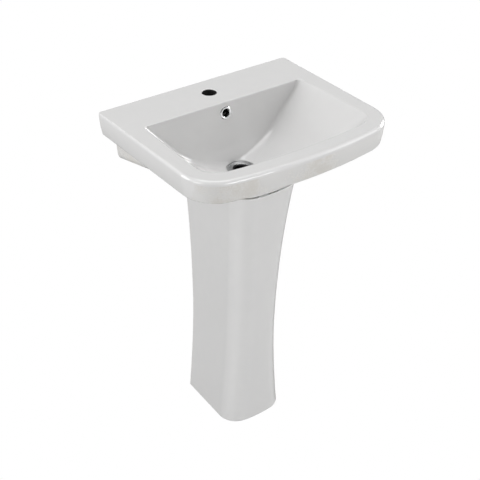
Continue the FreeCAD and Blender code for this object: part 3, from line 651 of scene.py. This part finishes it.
def pedestal():
    """A hollow column, open at the back, with an inward foot."""
    foot_in = PED_WALL + PED_FOOT_WIDTH
    outer = [(z, x) for x, z in quarter(2.5 * MM, FOUR_ANGLES)]
    inner = [(foot_in - z, x) for x, z in quarter(2 * MM, FOUR_ANGLES)]
    top_of_foot = [(foot_in, PED_FOOT_HEIGHT - 4 * MM), (foot_in - 0.6 * MM, PED_FOOT_HEIGHT - 1.6 * MM),
                   (foot_in - 2 * MM, PED_FOOT_HEIGHT - 0.4 * MM), (foot_in - 4 * MM, PED_FOOT_HEIGHT),
                   (PED_WALL + 6 * MM, PED_FOOT_HEIGHT), (PED_WALL + 2 * MM, PED_FOOT_HEIGHT + 1.2 * MM),
                   (PED_WALL + 0.5 * MM, PED_FOOT_HEIGHT + 4 * MM)]
    inner += top_of_foot
    outer += [(0.0, z) for z in np.linspace(5 * MM, PED_FOOT_HEIGHT + 4 * MM, len(top_of_foot))]
    levels = np.linspace(PED_FOOT_HEIGHT + 8 * MM, PED_TOP - 8 * MM, 56)
    outer += [(0.0, z) for z in levels]
    inner += [(PED_WALL, z) for z in levels]
    top_round = np.radians(np.linspace(0, 90, 6))
    outer += [(x, PED_TOP - z) for x, z in quarter(3 * MM, top_round)]
    inner += [(PED_WALL - x, PED_TOP - z) for x, z in quarter(2.5 * MM, top_round)]
    path, soft = [], 2.5 * MM
    lip_round = np.radians((0, 22.5, 45, 67.5, 90))
    for (out_inset, out_z), (in_inset, in_z) in zip(outer, inner):
        out_path = open_path(out_z, out_inset, out_inset + soft, out_z)
        in_path = open_path(in_z, in_inset, out_inset + soft, in_z)
        slot, out_y, in_y = PED_SLOT_HALF + out_inset, out_path[-1, 1], in_path[-1, 1]
        lip = [(slot + z, out_y - x, out_z) for x, z in quarter(soft, lip_round[1:])]
        lip = np.array(lip + [(slot + x, in_y + z, in_z) for x, z in quarter(soft, lip_round[:-1])])
        path.append(np.vstack([out_path, lip * (-1, 1, 1), in_path[::-1], lip[::-1]]))
    vertices, faces = skin(path, closed=False)
    count, half = len(path[0]), len(out_path)
    lips = len(lip)
    for ring in (0, len(path) - 1):
        base = ring * count
        pairs = [(i, 2 * half + lips - 1 - i) for i in range(half)]
        strips = [(base + a, base + c, base + d, base + b) for (a, b), (c, d) in zip(pairs, pairs[1:])]
        ends = [[base + half - 1 + k for k in range(lips + 2)],
                [base + (2 * half + lips - 1 + k) % count for k in range(lips + 2)]]
        faces += strips + [tuple(end) for end in ends]
    piece = new_mesh("pedestal_china", vertices, faces)
    above = PED_FOOT_HEIGHT + 5 * MM
    cutters = [plug("floor_hole", FLOOR_HOLE_RADIUS, -5 * MM, above, 48, (x, FLOOR_BOLT_Y, 0))
               for x in (-FLOOR_BOLT_X, FLOOR_BOLT_X)]
    return combine(piece, cutters, "DIFFERENCE")


# --- patterns that repeat round a turned piece
class Tree:
    """A Geometry Nodes tree with named sizes."""

    def __init__(self, name, inputs):
        self.tree = bpy.data.node_groups.new(name, "GeometryNodeTree")
        self.sockets = {}
        for label, kind in inputs:
            self.sockets[label] = self.tree.interface.new_socket(label, in_out="INPUT", socket_type=kind)
        self.tree.interface.new_socket("Geometry", in_out="OUTPUT", socket_type="NodeSocketGeometry")
        self.given = self.tree.nodes.new("NodeGroupInput")

    def node(self, kind, **values):
        made = self.tree.nodes.new(kind if kind.startswith("ShaderNode") else "GeometryNode" + kind)
        for key, value in values.items():
            socket = made.inputs[key.replace("_", " ")]
            if isinstance(value, bpy.types.NodeSocket):
                self.tree.links.new(value, socket)
            else:
                socket.default_value = value
        return made

    def __getitem__(self, label):
        return self.given.outputs[label]

    def finish(self, geometry, material):
        real = self.node("RealizeInstances", Geometry=geometry)
        painted = self.node("SetMaterial", Geometry=real.outputs[0], Material=material)
        out = self.tree.nodes.new("NodeGroupOutput")
        self.tree.links.new(painted.outputs[0], out.inputs[0])

    def grow(self, name, **values):
        """A plain mesh object made by the tree with these sizes."""
        holder = add_object(name, bpy.data.meshes.new(name))
        step = holder.modifiers.new("make", "NODES")
        step.node_group = self.tree
        for key, value in values.items():
            step[self.sockets[key.replace("_", " ")].identifier] = value
        flatten(holder)
        return tidy(holder)


def ribs_tree(material):
    """Moulded grip ribs, pointed at both ends, standing round a circle."""
    tree = Tree("grip_ribs", [("Count", "NodeSocketInt"), ("Circle Radius", "NodeSocketFloat"),
                              ("Rib Radius", "NodeSocketFloat"), ("Rib Height", "NodeSocketFloat")])
    circle = tree.node("MeshCircle", Vertices=tree["Count"], Radius=tree["Circle Radius"])
    ball = tree.node("MeshUVSphere", Segments=12, Rings=12, Radius=1.0)
    size = tree.node("ShaderNodeCombineXYZ", X=tree["Rib Radius"], Y=tree["Rib Radius"],
                     Z=tree["Rib Height"])
    long_ball = tree.node("Transform", Geometry=ball.outputs[0], Scale=size.outputs[0])
    ribs = tree.node("InstanceOnPoints", Points=circle.outputs[0], Instance=long_ball.outputs[0])
    tree.finish(ribs.outputs[0], material)
    return tree


def thread_tree(material):
    """Thread crests, drawn as level rings at the thread's pitch."""
    tree = Tree("thread_crests", [("Count", "NodeSocketInt"), ("Pitch", "NodeSocketFloat"),
                                  ("Crest Radius", "NodeSocketFloat"), ("Crest Size", "NodeSocketFloat")])
    step = tree.node("ShaderNodeCombineXYZ", Z=tree["Pitch"])
    line = tree.node("MeshLine", Count=tree["Count"], Offset=step.outputs[0])
    circle = tree.node("CurvePrimitiveCircle", Resolution=96, Radius=tree["Crest Radius"])
    crest = tree.node("CurvePrimitiveCircle", Resolution=8, Radius=tree["Crest Size"])
    ring = tree.node("CurveToMesh", Curve=circle.outputs[0], Profile_Curve=crest.outputs[0])
    rings = tree.node("InstanceOnPoints", Points=line.outputs[0], Instance=ring.outputs[0])
    tree.finish(rings.outputs[0], material)
    return tree


# --- shader maths
class Value:
    """A socket's value in a material, with arithmetic."""

    def __init__(self, made, socket):
        self.made, self.socket = made, socket

    def _with(self, operation, first, second):
        return self.made.node("ShaderNodeMath", {"operation": operation}, {0: first, 1: second})

    def __add__(self, other):
        return self._with("ADD", self, other)

    def __mul__(self, other):
        return self._with("MULTIPLY", self, other)

    __radd__ = __add__
    __rmul__ = __mul__


class Finish:
    """A material and its nodes."""

    def __init__(self, name, **constants):
        self.material = bpy.data.materials.new(name)
        self.material.use_nodes = True
        self.nodes, self.links = self.material.node_tree.nodes, self.material.node_tree.links
        self.shader = self.nodes["Principled BSDF"]
        for label, constant in constants.items():
            self.shader.inputs[label.replace("_", " ")].default_value = constant

    def node(self, kind, settings=None, sockets=None, output=0):
        made = self.nodes.new(kind)
        for key, setting in (settings or {}).items():
            setattr(made, key, setting)
        for key, value in (sockets or {}).items():
            self.feed(made.inputs[key], value)
        return Value(self, made.outputs[output])

    def feed(self, socket, value):
        if isinstance(value, Value):
            self.links.new(value.socket, socket)
        else:
            socket.default_value = value

    def set(self, **values):
        for label, value in values.items():
            self.feed(self.shader.inputs[label.replace("_", " ")], value)

    def place(self):
        return self.node("ShaderNodeTexCoord", output="Object")

    def stretched(self, x, y, z):
        return self.node("ShaderNodeMapping", None, {"Vector": self.place(), "Scale": (x, y, z)})

    def noise(self, scale, detail=3.0, roughness=0.5, place=None):
        return self.node("ShaderNodeTexNoise", None, {"Vector": place or self.place(), "Scale": scale,
                                                      "Detail": detail, "Roughness": roughness})

    def spread(self, factor, low, high, to_low=0.0, to_high=1.0):
        return self.node("ShaderNodeMapRange", {"interpolation_type": "SMOOTHSTEP"},
                         {"Value": factor, "From Min": low, "From Max": high, "To Min": to_low,
                          "To Max": to_high})

    def blend(self, factor, first, second):
        return self.node("ShaderNodeMix", {"data_type": "RGBA"}, {0: factor, 6: first, 7: second}, output=2)

    def bump(self, height, distance, strength=1.0, under=None):
        sockets = {"Height": height, "Distance": distance, "Strength": strength}
        if under is not None:
            sockets["Normal"] = under
        return self.node("ShaderNodeBump", None, sockets)


def glazed_china():
    """White glaze: two close whites, the faint ripple and pin-prick texture of a fired surface."""
    finish = Finish("glazed_china", IOR=1.52, Specular_IOR_Level=0.5, Coat_IOR=1.5)
    cloud, drift = finish.noise(7.0, 2.0), finish.noise(34.0, 3.0)
    tone = finish.spread(cloud * 0.7 + drift * 0.3, 0.35, 0.65)
    white = finish.blend(tone, (0.800, 0.797, 0.794, 1), (0.822, 0.818, 0.813, 1))
    specks = finish.node("ShaderNodeTexVoronoi", {"feature": "F1"}, {"Vector": finish.place(), "Scale": 55.0},
                         output="Distance")
    rare = finish.spread(finish.noise(19.0, 1.0), 0.66, 0.72)
    dot = finish.spread(specks, 0.012, 0.03, 1.0, 0.0) * rare
    finish.set(Base_Color=finish.blend(dot * 0.5, white, (0.52, 0.49, 0.45, 1)))
    finish.set(Roughness=finish.spread(drift, 0.3, 0.7, 0.055, 0.105))
    wave = finish.bump(finish.noise(16.0, 1.0), 0.0011, 0.35)
    peel = finish.bump(finish.noise(210.0, 2.0, 0.55), 0.00006, 0.55, wave)
    finish.set(Normal=peel, Coat_Weight=finish.spread(cloud, 0.3, 0.7, 0.35, 0.55))
    finish.shader.inputs["Coat Roughness"].default_value = 0.04
    return finish.material


def thin_glaze():
    """The underside, where the glaze was only sprayed thinly."""
    finish = Finish("thin_glaze", IOR=1.5)
    patches, grain = finish.noise(12.0, 4.0, 0.6), finish.noise(260.0, 3.0)
    bare = finish.spread(patches * 0.8 + grain * 0.2, 0.44, 0.60)
    finish.set(Base_Color=finish.blend(bare, (0.770, 0.765, 0.755, 1), (0.690, 0.672, 0.640, 1)),
               Roughness=finish.spread(bare, 0.0, 1.0, 0.22, 0.62),
               Normal=finish.bump(grain + patches * 0.3, 0.00012, 0.5))
    return finish.material


def fired_clay(name, pale, deep, scuffed):
    """Fired clay without glaze, with its fine grain and a few scuffs."""
    finish = Finish(name, IOR=1.45)
    grain, cloud = finish.noise(900.0, 2.0, 0.7), finish.noise(22.0, 5.0, 0.6)
    scuffs = finish.spread(finish.noise(4.0, 6.0, 0.7, finish.stretched(60.0, 60.0, 4.0)), 0.60, 0.72)
    clay = finish.blend(finish.spread(cloud, 0.35, 0.68), pale, deep)
    finish.set(Base_Color=finish.blend(scuffs * 0.25, clay, scuffed),
               Roughness=finish.spread(cloud, 0.3, 0.7, 0.78, 0.92),
               Normal=finish.bump(grain, 0.00010, 0.8, finish.bump(cloud, 0.0005, 0.4)))
    return finish.material


def chrome(name, pale, deep, dullness):
    """Plating with hairline wear and water marks."""
    finish = Finish(name, Metallic=1.0)
    lines = finish.spread(finish.noise(1.0, 4.0, 0.75, finish.stretched(900.0, 900.0, 60.0)), 0.55, 0.75)
    marks = finish.spread(finish.noise(140.0, 3.0, 0.6), 0.52, 0.66)
    finish.set(Base_Color=finish.blend(marks * 0.5, pale, deep),
               Roughness=dullness + lines * 0.10 + marks * 0.10,
               Normal=finish.bump(lines, 0.000012, 0.5))
    return finish.material


def moulded_plastic(name, pale, deep, scale):
    """Injection-moulded plastic: satin skin, slight flow marks, fine spark-eroded texture."""
    finish = Finish(name, IOR=1.49)
    flow = finish.stretched(1.0, 1.0, 0.3)
    marks, grain = finish.noise(scale, 4.0, 0.55, flow), finish.noise(1800.0, 2.0, 0.6)
    finish.set(Base_Color=finish.blend(finish.spread(marks, 0.35, 0.68), pale, deep),
               Roughness=finish.spread(marks, 0.3, 0.7, 0.30, 0.42) + grain * 0.06,
               Normal=finish.bump(grain, 0.00004, 0.6, finish.bump(marks, 0.0003, 0.3)))
    return finish.material


def soft_rubber(name, clouds, grains, pale, deep, rough, dent, **constants):
    """Rubber or silicone: a cloudy bloom and a fine moulded grain."""
    finish = Finish(name, **constants)
    (cloud_scale, detail, low), (grain_scale, strength) = clouds, grains
    bloom, grain = finish.noise(cloud_scale, detail), finish.noise(grain_scale, 2.0)
    finish.set(Base_Color=finish.blend(finish.spread(bloom, low, 0.7), pale, deep),
               Roughness=finish.spread(bloom, 0.3, 0.7, *rough), Normal=finish.bump(grain, dent, strength))
    return finish.material


GLAZE, THIN_GLAZE = glazed_china(), thin_glaze()
BARE = fired_clay("bare_china", (0.715, 0.694, 0.655, 1), (0.670, 0.645, 0.600, 1), (0.46, 0.44, 0.41, 1))
# Painted shade: near-black clay that stands for the shade deep inside the casting; the real clay there is
# pale.
HOLLOW_SHADE = fired_clay("painted_shade_hollow", (0.030, 0.029, 0.028, 1), (0.018, 0.017, 0.016, 1),
                    (0.012, 0.012, 0.012, 1))
CHROME = chrome("chrome", (0.83, 0.84, 0.85, 1), (0.70, 0.71, 0.715, 1), 0.07)
# Satin plating for the waste, darker than the overflow's chrome: partly a real satin finish, partly painted
# shade of the bowl's bottom.
SATIN_SHADED_CHROME = chrome("satin_chrome_painted_shade", (0.45, 0.455, 0.46, 1), (0.35, 0.355, 0.36, 1), 0.22)
# Painted shade: near-black plating inside the waste's bore, for the shade down the hole.
BORE_SHADE = chrome("painted_shade_bore", (0.050, 0.050, 0.050, 1), (0.028, 0.027, 0.026, 1), 0.45)
RUBBER = soft_rubber("rubber", (60.0, 4.0, 0.35), (1500.0, 0.7), (0.022, 0.022, 0.023, 1),
                     (0.052, 0.050, 0.048, 1), (0.52, 0.72), 0.00006)
SILICONE = soft_rubber("clear_silicone", (120.0, 3.0, 0.3), (1200.0, 0.6), (0.86, 0.88, 0.87, 1),
                       (0.74, 0.77, 0.76, 1), (0.32, 0.5), 0.00005, IOR=1.41, Transmission_Weight=0.55)
WHITE_PLASTIC = moulded_plastic("white_plastic", (0.80, 0.80, 0.79, 1), (0.735, 0.735, 0.72, 1), 30.0)
GREY_PLASTIC = moulded_plastic("grey_plastic", (0.30, 0.31, 0.32, 1), (0.23, 0.24, 0.25, 1), 45.0)
RIBS, THREAD = ribs_tree(WHITE_PLASTIC), thread_tree(WHITE_PLASTIC)


# --- waste, trap and pipe: profiles in millimetres, as (radius, height, corner radius)
WASTE_AXIS = Matrix.Translation((0, WASTE_Y, 0))
BSP_PITCH, TRAP_PITCH = 2.309, 2


def metres(points):
    return np.array(points, float) * MM


def in_mm(*values):
    return [value / MM for value in values]


def pipe_piece(name, profile, steps=96, matrix=WASTE_AXIS):
    """A turned piece with rounded corners, about the waste's axis unless it is placed elsewhere."""
    return placed(turned(name, rounded(metres(profile)), steps, closed=True), matrix)


def about_waste(name, profile, steps=96, base=0.0):
    return turned(name, metres(profile), steps, (0, WASTE_Y, base))


def with_ribs(piece, count, radius, low, high, matrix=WASTE_AXIS):
    ribs = RIBS.grow("ribs", Count=count, Circle_Radius=radius * MM, Rib_Radius=1.5 * MM,
                     Rib_Height=(high - low) / 2 * MM)
    placed(ribs, matrix @ Matrix.Translation((0, 0, (low + high) / 2 * MM)))
    return combine(piece, [ribs], "UNION")


def with_thread(piece, count, pitch, radius, low, matrix=WASTE_AXIS):
    crests = THREAD.grow("crests", Count=count, Pitch=pitch * MM, Crest_Radius=(radius - 0.45) * MM,
                         Crest_Size=0.55 * MM)
    placed(crests, matrix @ Matrix.Translation((0, 0, low * MM)))
    return combine(piece, [crests], "UNION")


def waste_fitting():
    top, low = in_mm(waste_high.z, waste_low.z)
    bore, tail, seat, rim = 16.4, 20.4, 17, 33
    under = top - 3
    profile = [(bore, low, 0.5), (tail, low, 1.2), (tail, under, 0.4), (rim, under, 0.4),
               (rim, top - 1.4, 1.1), (rim - 2.2, top, 1.4), (rim - 4.6, top, 1.6),
               (seat + 3.2, top - 1.3, 2.2), (seat, top - 4.4, 2.6), (seat, top - 19, 0.3),
               (bore, top - 19, 0.3)]
    windows = [block("window", metres((-x, -y, top - 39)), metres((x, y, top - 19)), 1.5 * MM)
               for x, y in ((24, 7), (7, 24))]
    windows = [placed(window, WASTE_AXIS) for window in windows]
    piece = combine(pipe_piece("waste_fitting", profile, 128), windows, "DIFFERENCE")
    bars = []
    for degrees in (45, 135):
        bar = block("bar", metres((-17, -1.5, top - 48)), metres((17, 1.5, top - 44)), 1.2 * MM)
        bars.append(placed(bar, WASTE_AXIS @ Matrix.Rotation(math.radians(degrees), 4, "Z")))
    return with_thread(combine(piece, bars, "UNION"), 12, BSP_PITCH, 20.9, low + 1.6)


def hexagon_nut():
    low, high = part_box("waste_backnut")
    tall, wide, deep = in_mm(high.z - low.z, high.x - low.x, high.y - low.y)
    flats = min(wide, deep) / 2
    corners = flats / math.cos(math.pi / 6)
    tips = polar(corners, np.radians(60 * np.arange(7)))
    ring = metres([a + (b - a) * t for a, b in zip(tips, tips[1:]) for t in np.linspace(0, 1, 9)[:-1]])
    if wide < deep:
        ring = ring[:, ::-1]
    levels = np.linspace(low.z, high.z, 4)
    piece = solid("backnut", [np.insert(ring + (0, WASTE_Y), 2, z, axis=1) for z in levels])
    inner, outer, fade = flats + 0.4, corners + 0.5, 1.6
    chamfer = about_waste("chamfer", [(0, -1), (inner, -1), (inner, 0), (outer, fade), (outer, tall - fade),
                                      (inner, tall), (inner, tall + 1), (0, tall + 1)], base=low.z)
    bore = about_waste("bore", [(0, -2), (22.6, -2), (21.15, 1), (21.15, tall - 1), (22.6, tall + 2),
                                (0, tall + 2)], base=low.z)
    return combine(combine(piece, [chamfer], "INTERSECT"), [bore], "DIFFERENCE")


def union_nut(name, height, thread, plain, matrix):
    """A ribbed nut: lip below, thread above."""
    bore, lip = 16.3, 4
    profile = [(bore, 0, 0.5), (plain - 2, 0, 1.5), (plain, 2, 1.5), (plain, height, 1),
               (thread, height, 0.6), (thread, lip, 0.5), (bore, lip, 0.5)]
    return with_ribs(pipe_piece(name, profile, 96, matrix), 12, plain - 0.1, 2.5, height - 1.5, matrix)


def inlet_nut():
    low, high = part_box("trap_inlet_nut")
    return union_nut("inlet_nut_piece", (high.z - low.z) / MM, 21.15, 24.5,
                     Matrix.Translation((0, WASTE_Y, low.z)))


def outlet_nut():
    low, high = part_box("trap_outlet_nut")
    # Its lip faces the wall.
    turn = Matrix.Translation((0, high.y, OUTLET_Z)) @ Matrix.Rotation(math.pi / 2, 4, "X")
    return union_nut("outlet_nut_piece", (high.y - low.y) / MM, 21.25, 24.6, turn)


def trap_bottle():
    top, low, mouth, axis = in_mm(trap_high.z, trap_low.z, trap_high.y, WASTE_Y)
    outer, inner, bore, collar, neck, socket = 29, 26, 14.4, 20.4, 16, 20.6
    shoulder, flange = top - 40, low + 12
    ceiling = shoulder - 6
    profile = [(inner, low, 0.5), (outer - 0.4, low, 0.8), (outer - 0.4, flange, 0.4), (34.5, flange, 0.6),
               (34.5, flange + 3, 0.9), (outer, flange + 3, 1.5), (outer, shoulder - 4, 4),
               (outer - 4, shoulder, 3), (neck, shoulder, 2), (neck, top - 3.5, 0.6),
               (collar, top - 3.5, 0.6), (collar, top, 0.8), (bore, top, 0.6), (bore, ceiling, 1),
               (inner - 3, shoulder - 3, 0), (inner, ceiling, 2)]
    body = pipe_piece("trap_bottle", profile)
    along = along_y_matrix(OUTLET_Z)
    profile = [(bore, axis + 20, 0), (17.5, axis + 20, 0), (17.5, mouth - 15, 3), (socket, mouth - 12, 1.5),
               (socket, mouth, 0.6), (neck, mouth, 0.6), (neck, mouth - 16, 0.5), (bore, mouth - 16, 0.5)]
    arm = pipe_piece("arm", profile, 96, along)
    inside = about_waste("inside", [(0, low - 1), (inner, low - 1), (inner, ceiling),
                                    (inner - 3, shoulder - 3), (bore, ceiling), (0, ceiling)])
    port = placed(plug("port", bore * MM, WASTE_Y, (mouth - 20) * MM), along)
    body = combine(combine(body, [arm], "UNION"), [inside, port], "DIFFERENCE")
    body = with_thread(body, 5, TRAP_PITCH, 21, mouth - 10.4, along)
    return with_thread(body, 5, TRAP_PITCH, 29, low + 1.6)


def bottle_cup():
    low, high = in_mm(cup_low.z, cup_high.z)
    inner, wall, plain, grip = 29.3, 2.6, 33.5, 24
    waist = inner + wall - 3
    profile = [(0, low, 0), (waist - 8, low, 2), (waist - 2, low + 3, 3), (waist, low + 10, 5),
               (inner + wall, high - grip - 8, 6), (plain, high - grip, 3), (plain, high, 1.2),
               (inner, high, 0.6), (inner, high - grip, 3), (waist - wall, low + 12, 5),
               (waist - 10, low + wall, 4), (0, low + wall, 0)]
    piece = turned("bottle_cup", rounded(metres(profile)), 112, (0, WASTE_Y, 0))
    return with_ribs(piece, 16, plain, high - grip + 2, high - 1.5)


def waste_pipe():
    start, end = in_mm(pipe_low.y, pipe_high.y)
    outer, bore, groove = 16, 14.4, 108
    cut = outer - 0.3
    profile = [(bore, start, 0.4), (outer, start, 0.8), (outer, groove, 0.1), (cut, groove, 0.1),
               (cut, groove + 1.5, 0.1), (outer, groove + 1.5, 0.1), (outer, end, 0.2), (bore, end, 0.2)]
    return pipe_piece("waste_pipe", profile, 96, along_y_matrix(OUTLET_Z))


def overflow_trim():
    hole, sleeve, rim = 9.6, 12.2, 15.5
    profile = [(hole, -11, 0.4), (sleeve, -11, 0.4), (sleeve, 0.1, 0), (rim, 0.1, 0.2), (rim, 1.1, 0.7),
               (13.6, 2.6, 1.4), (11.2, 2.6, 1), (hole, 1.2, 1)]
    return pipe_piece("overflow_trim", profile, 96, overflow_matrix())


# --- finish every piece
def settle(piece, body, slot, nodes, *finishes):
    piece.data.materials.clear()
    for finish in finishes:
        piece.data.materials.append(finish)
    piece.data.polygons.foreach_set("material_index", np.zeros(len(piece.data.polygons), np.int32))
    step = piece.modifiers.new("even_shading", "WEIGHTED_NORMAL")
    step.keep_sharp = True
    step.weight = 60
    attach(piece, body)
    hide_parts(*nodes)
    return piece


def face_places(piece):
    count = len(piece.data.polygons)
    centres, normals = np.empty(count * 3), np.empty(count * 3)
    piece.data.polygons.foreach_get("center", centres)
    piece.data.polygons.foreach_get("normal", normals)
    return centres.reshape(-1, 3), normals.reshape(-1, 3)


def set_faces(piece, *masks):
    """Give each mask's faces the next finish after the first."""
    index = np.zeros(len(piece.data.polygons), np.int32)
    for i, mask in enumerate(masks, 1):
        index[mask] = i
    piece.data.polygons.foreach_set("material_index", index)


def finish_basin():
    """Thin glaze underneath, clay against the wall, and shade inside the tap hole and the overflow."""
    piece = settle(basin(), "fixture", "china", ["basin_deck", "basin_skirt", "basin_bowl"],
                   GLAZE, THIN_GLAZE, BARE, HOLLOW_SHADE)
    place, facing = face_places(piece)
    across, depth, height = place.T
    at_side = HALF_WIDTH - np.abs(across) < 9 * MM
    skirt_face = (facing[:, 2] > -0.9) & (height > SKIRT_BOTTOM_Z - MM) & at_side
    underneath = (facing[:, 2] < -0.05) & (height < DECK_BOTTOM_Z + MM) & ~skirt_face
    touching_wall = (facing[:, 1] > 0.98) & (depth > WALL_Y - 0.5 * MM)
    tap_away = np.hypot(across, depth - (WALL_Y - TAP_FROM_WALL))
    tap_bore = (tap_away < TAP_HOLE_RADIUS + MM) & (height < RIM_Z - 2 * MM)
    areas = np.empty(len(place))
    piece.data.polygons.foreach_get("area", areas)
    below_tap = (facing[:, 1] < -0.5) & (depth > WALL_Y - CHINA_WALL - 4 * MM) & (height < DECK_BOTTOM_Z + MM)
    below_tap &= (height > DECK_BOTTOM_Z - 45 * MM) & (np.abs(across) < 75 * MM) & (areas < (30 * MM) ** 2)
    middle, axis = (np.array(column[:3]) for column in (overflow_matrix().col[3], overflow_matrix().col[2]))
    along = (place - middle) @ (-np.sign(axis[1]) * axis)
    away = np.sqrt(np.maximum(((place - middle) ** 2).sum(axis=1) - along ** 2, 0))
    overflow_bore = (along < -2 * MM) & (along > -45 * MM) & (away < 20 * MM)
    # The tap hole's bore, the back plate behind it and the overflow's waterway get the near-black painted
    # shade.
    set_faces(piece, underneath, touching_wall, tap_bore | below_tap | overflow_bore)


def finish_pedestal():
    """Thin glaze on the back edges, clay inside and under the foot."""
    piece = settle(pedestal(), "fixture", "china", ["pedestal"], GLAZE, THIN_GLAZE, BARE)
    place, facing = face_places(piece)
    on_floor = (facing[:, 2] < -0.9) & (place[:, 2] < MM)
    back = place[:, 1] > PED_BACK_Y - MM
    behind_front = place[:, 1] > WALL_Y - PED_FRONT_TOP
    inner_side = (facing[:, 0] * place[:, 0] < 0) | ((facing[:, 1] > 0.2) & ~back)
    set_faces(piece, back & (facing[:, 1] > 0.9), (inner_side & behind_front) | on_floor)


def finish_waste():
    piece = settle(waste_fitting(), "fixture", "chrome", ["waste_body"], SATIN_SHADED_CHROME, BORE_SHADE)
    place, facing = face_places(piece)
    # Faces inside the bore get the near-black painted shade.
    inside = np.hypot(place[:, 0], place[:, 1] - WASTE_Y) < 19.4 * MM
    set_faces(piece, inside & (place[:, 2] < waste_high.z - 2.5 * MM))


finish_basin()
finish_pedestal()
settle(overflow_trim(), "fixture", "chrome", ["overflow_ring"], CHROME)
finish_waste()
settle(hexagon_nut(), "fixture", "chrome", ["waste_backnut"], CHROME)
for make, body, node in (
        (trap_bottle, "fixture", "trap_body"), (waste_pipe, "fixture", "outlet_pipe"),
        (inlet_nut, "inlet_nut", "trap_inlet_nut"), (outlet_nut, "outlet_nut", "trap_outlet_nut"),
        (bottle_cup, "cup", "trap_cup")):
    settle(make(), body, "white_plastic", [node], WHITE_PLASTIC)

KEPT_NODES = {
    "seat_pads": SILICONE, "wall_bushes": GREY_PLASTIC, "floor_bushes": GREY_PLASTIC,
    "waste_top_washer": GREY_PLASTIC, "waste_bottom_washer": RUBBER, "waste_friction_ring": GREY_PLASTIC,
    "trap_inlet_washer": RUBBER, "trap_inlet_slip_ring": GREY_PLASTIC, "trap_dip_tube": WHITE_PLASTIC,
    "trap_cup_seal": RUBBER, "trap_outlet_washer": RUBBER, "trap_outlet_slip_ring": GREY_PLASTIC,
}
for node, finish in KEPT_NODES.items():
    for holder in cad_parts[node].material_slots:
        holder.material = finish


# --- camera, light and floor
def aim(name, data, place, direction):
    thing = add_object(name, data)
    thing.location = place
    thing.rotation_euler = Vector(direction).to_track_quat("-Z", "Y").to_euler()
    return thing


CAMERA_PLACE = (-1.3285, -1.8195, 1.9861)
CAMERA_DIRECTION = (0.48774, 0.68237, -0.54450)
lens = bpy.data.cameras.new("camera")
lens.lens, lens.sensor_width, lens.clip_start, lens.clip_end = 84.0, 36.0, 0.05, 200.0
bpy.context.scene.camera = aim("camera", lens, CAMERA_PLACE, CAMERA_DIRECTION)


def soft_light(name, place, target, width, height, power):
    lamp = bpy.data.lights.new(name, "AREA")
    lamp.shape, lamp.size, lamp.size_y, lamp.energy = "RECTANGLE", width, height, power
    aim(name, lamp, place, Vector(target) - Vector(place))


CENTRE = (0, 0, 0.6)
soft_light("left_window", (-2.6, 1.3, 1.5), CENTRE, 1.6, 2.2, 50)
soft_light("left_front_window", (-3.0, -0.6, 1.5), CENTRE, 1.2, 2.0, 6)
soft_light("low_left", (-2.6, -0.4, 0.55), (0, 0, 0.75), 1.2, 0.7, 12)
soft_light("right_window", (3.0, 0.1, 1.2), CENTRE, 1.2, 2.0, 50)
soft_light("right_front_window", (2.2, -2.0, 1.7), CENTRE, 1.2, 2.0, 15)
soft_light("low_front", (0.2, -3.0, 0.4), CENTRE, 1.8, 0.7, 44)
soft_light("ceiling", (0.2, 0.2, 3.2), (0, 0, 0.8), 2.0, 2.0, 37)


def white_to_camera(tree, seen, otherwise, output):
    """Shows one shader to the camera and lights the object with the other."""
    path, choice = tree.nodes.new("ShaderNodeLightPath"), tree.nodes.new("ShaderNodeMixShader")
    tree.links.new(path.outputs["Is Camera Ray"], choice.inputs[0])
    tree.links.new(otherwise.outputs[0], choice.inputs[1])
    tree.links.new(seen.outputs[0], choice.inputs[2])
    tree.links.new(choice.outputs[0], tree.nodes[output].inputs["Surface"])


def room():
    world = bpy.data.worlds.new("room")
    bpy.context.scene.world = world
    world.use_nodes = True
    nodes = world.node_tree.nodes
    seen, lit = nodes["Background"], nodes.new("ShaderNodeBackground")
    for shader, strength in ((seen, 1.0), (lit, 0.18)):
        shader.inputs["Color"].default_value = (1, 1, 1, 1)
        shader.inputs["Strength"].default_value = strength
    white_to_camera(world.node_tree, seen, lit, "World Output")
    bpy.context.scene.view_settings.view_transform = "Standard"


def pale_floor():
    material = bpy.data.materials.new("pale_floor")
    material.use_nodes = True
    nodes = material.node_tree.nodes
    matt, glow = nodes["Principled BSDF"], nodes.new("ShaderNodeEmission")
    matt.inputs["Base Color"].default_value = (0.2, 0.2, 0.2, 1)
    matt.inputs["Roughness"].default_value = 0.9
    glow.inputs["Color"].default_value = (1, 1, 1, 1)
    white_to_camera(material.node_tree, glow, matt, "Material Output")
    mesh = bpy.data.meshes.new("floor")
    reach = 60.0
    mesh.from_pydata([(-reach, -reach, 0), (reach, -reach, 0), (reach, reach, 0), (-reach, reach, 0)], [],
                     [(0, 1, 2, 3)])
    mesh.materials.append(material)
    floor = add_object("floor", mesh)
    floor.location = (0, 0, -0.5 * MM)


room()
pale_floor()
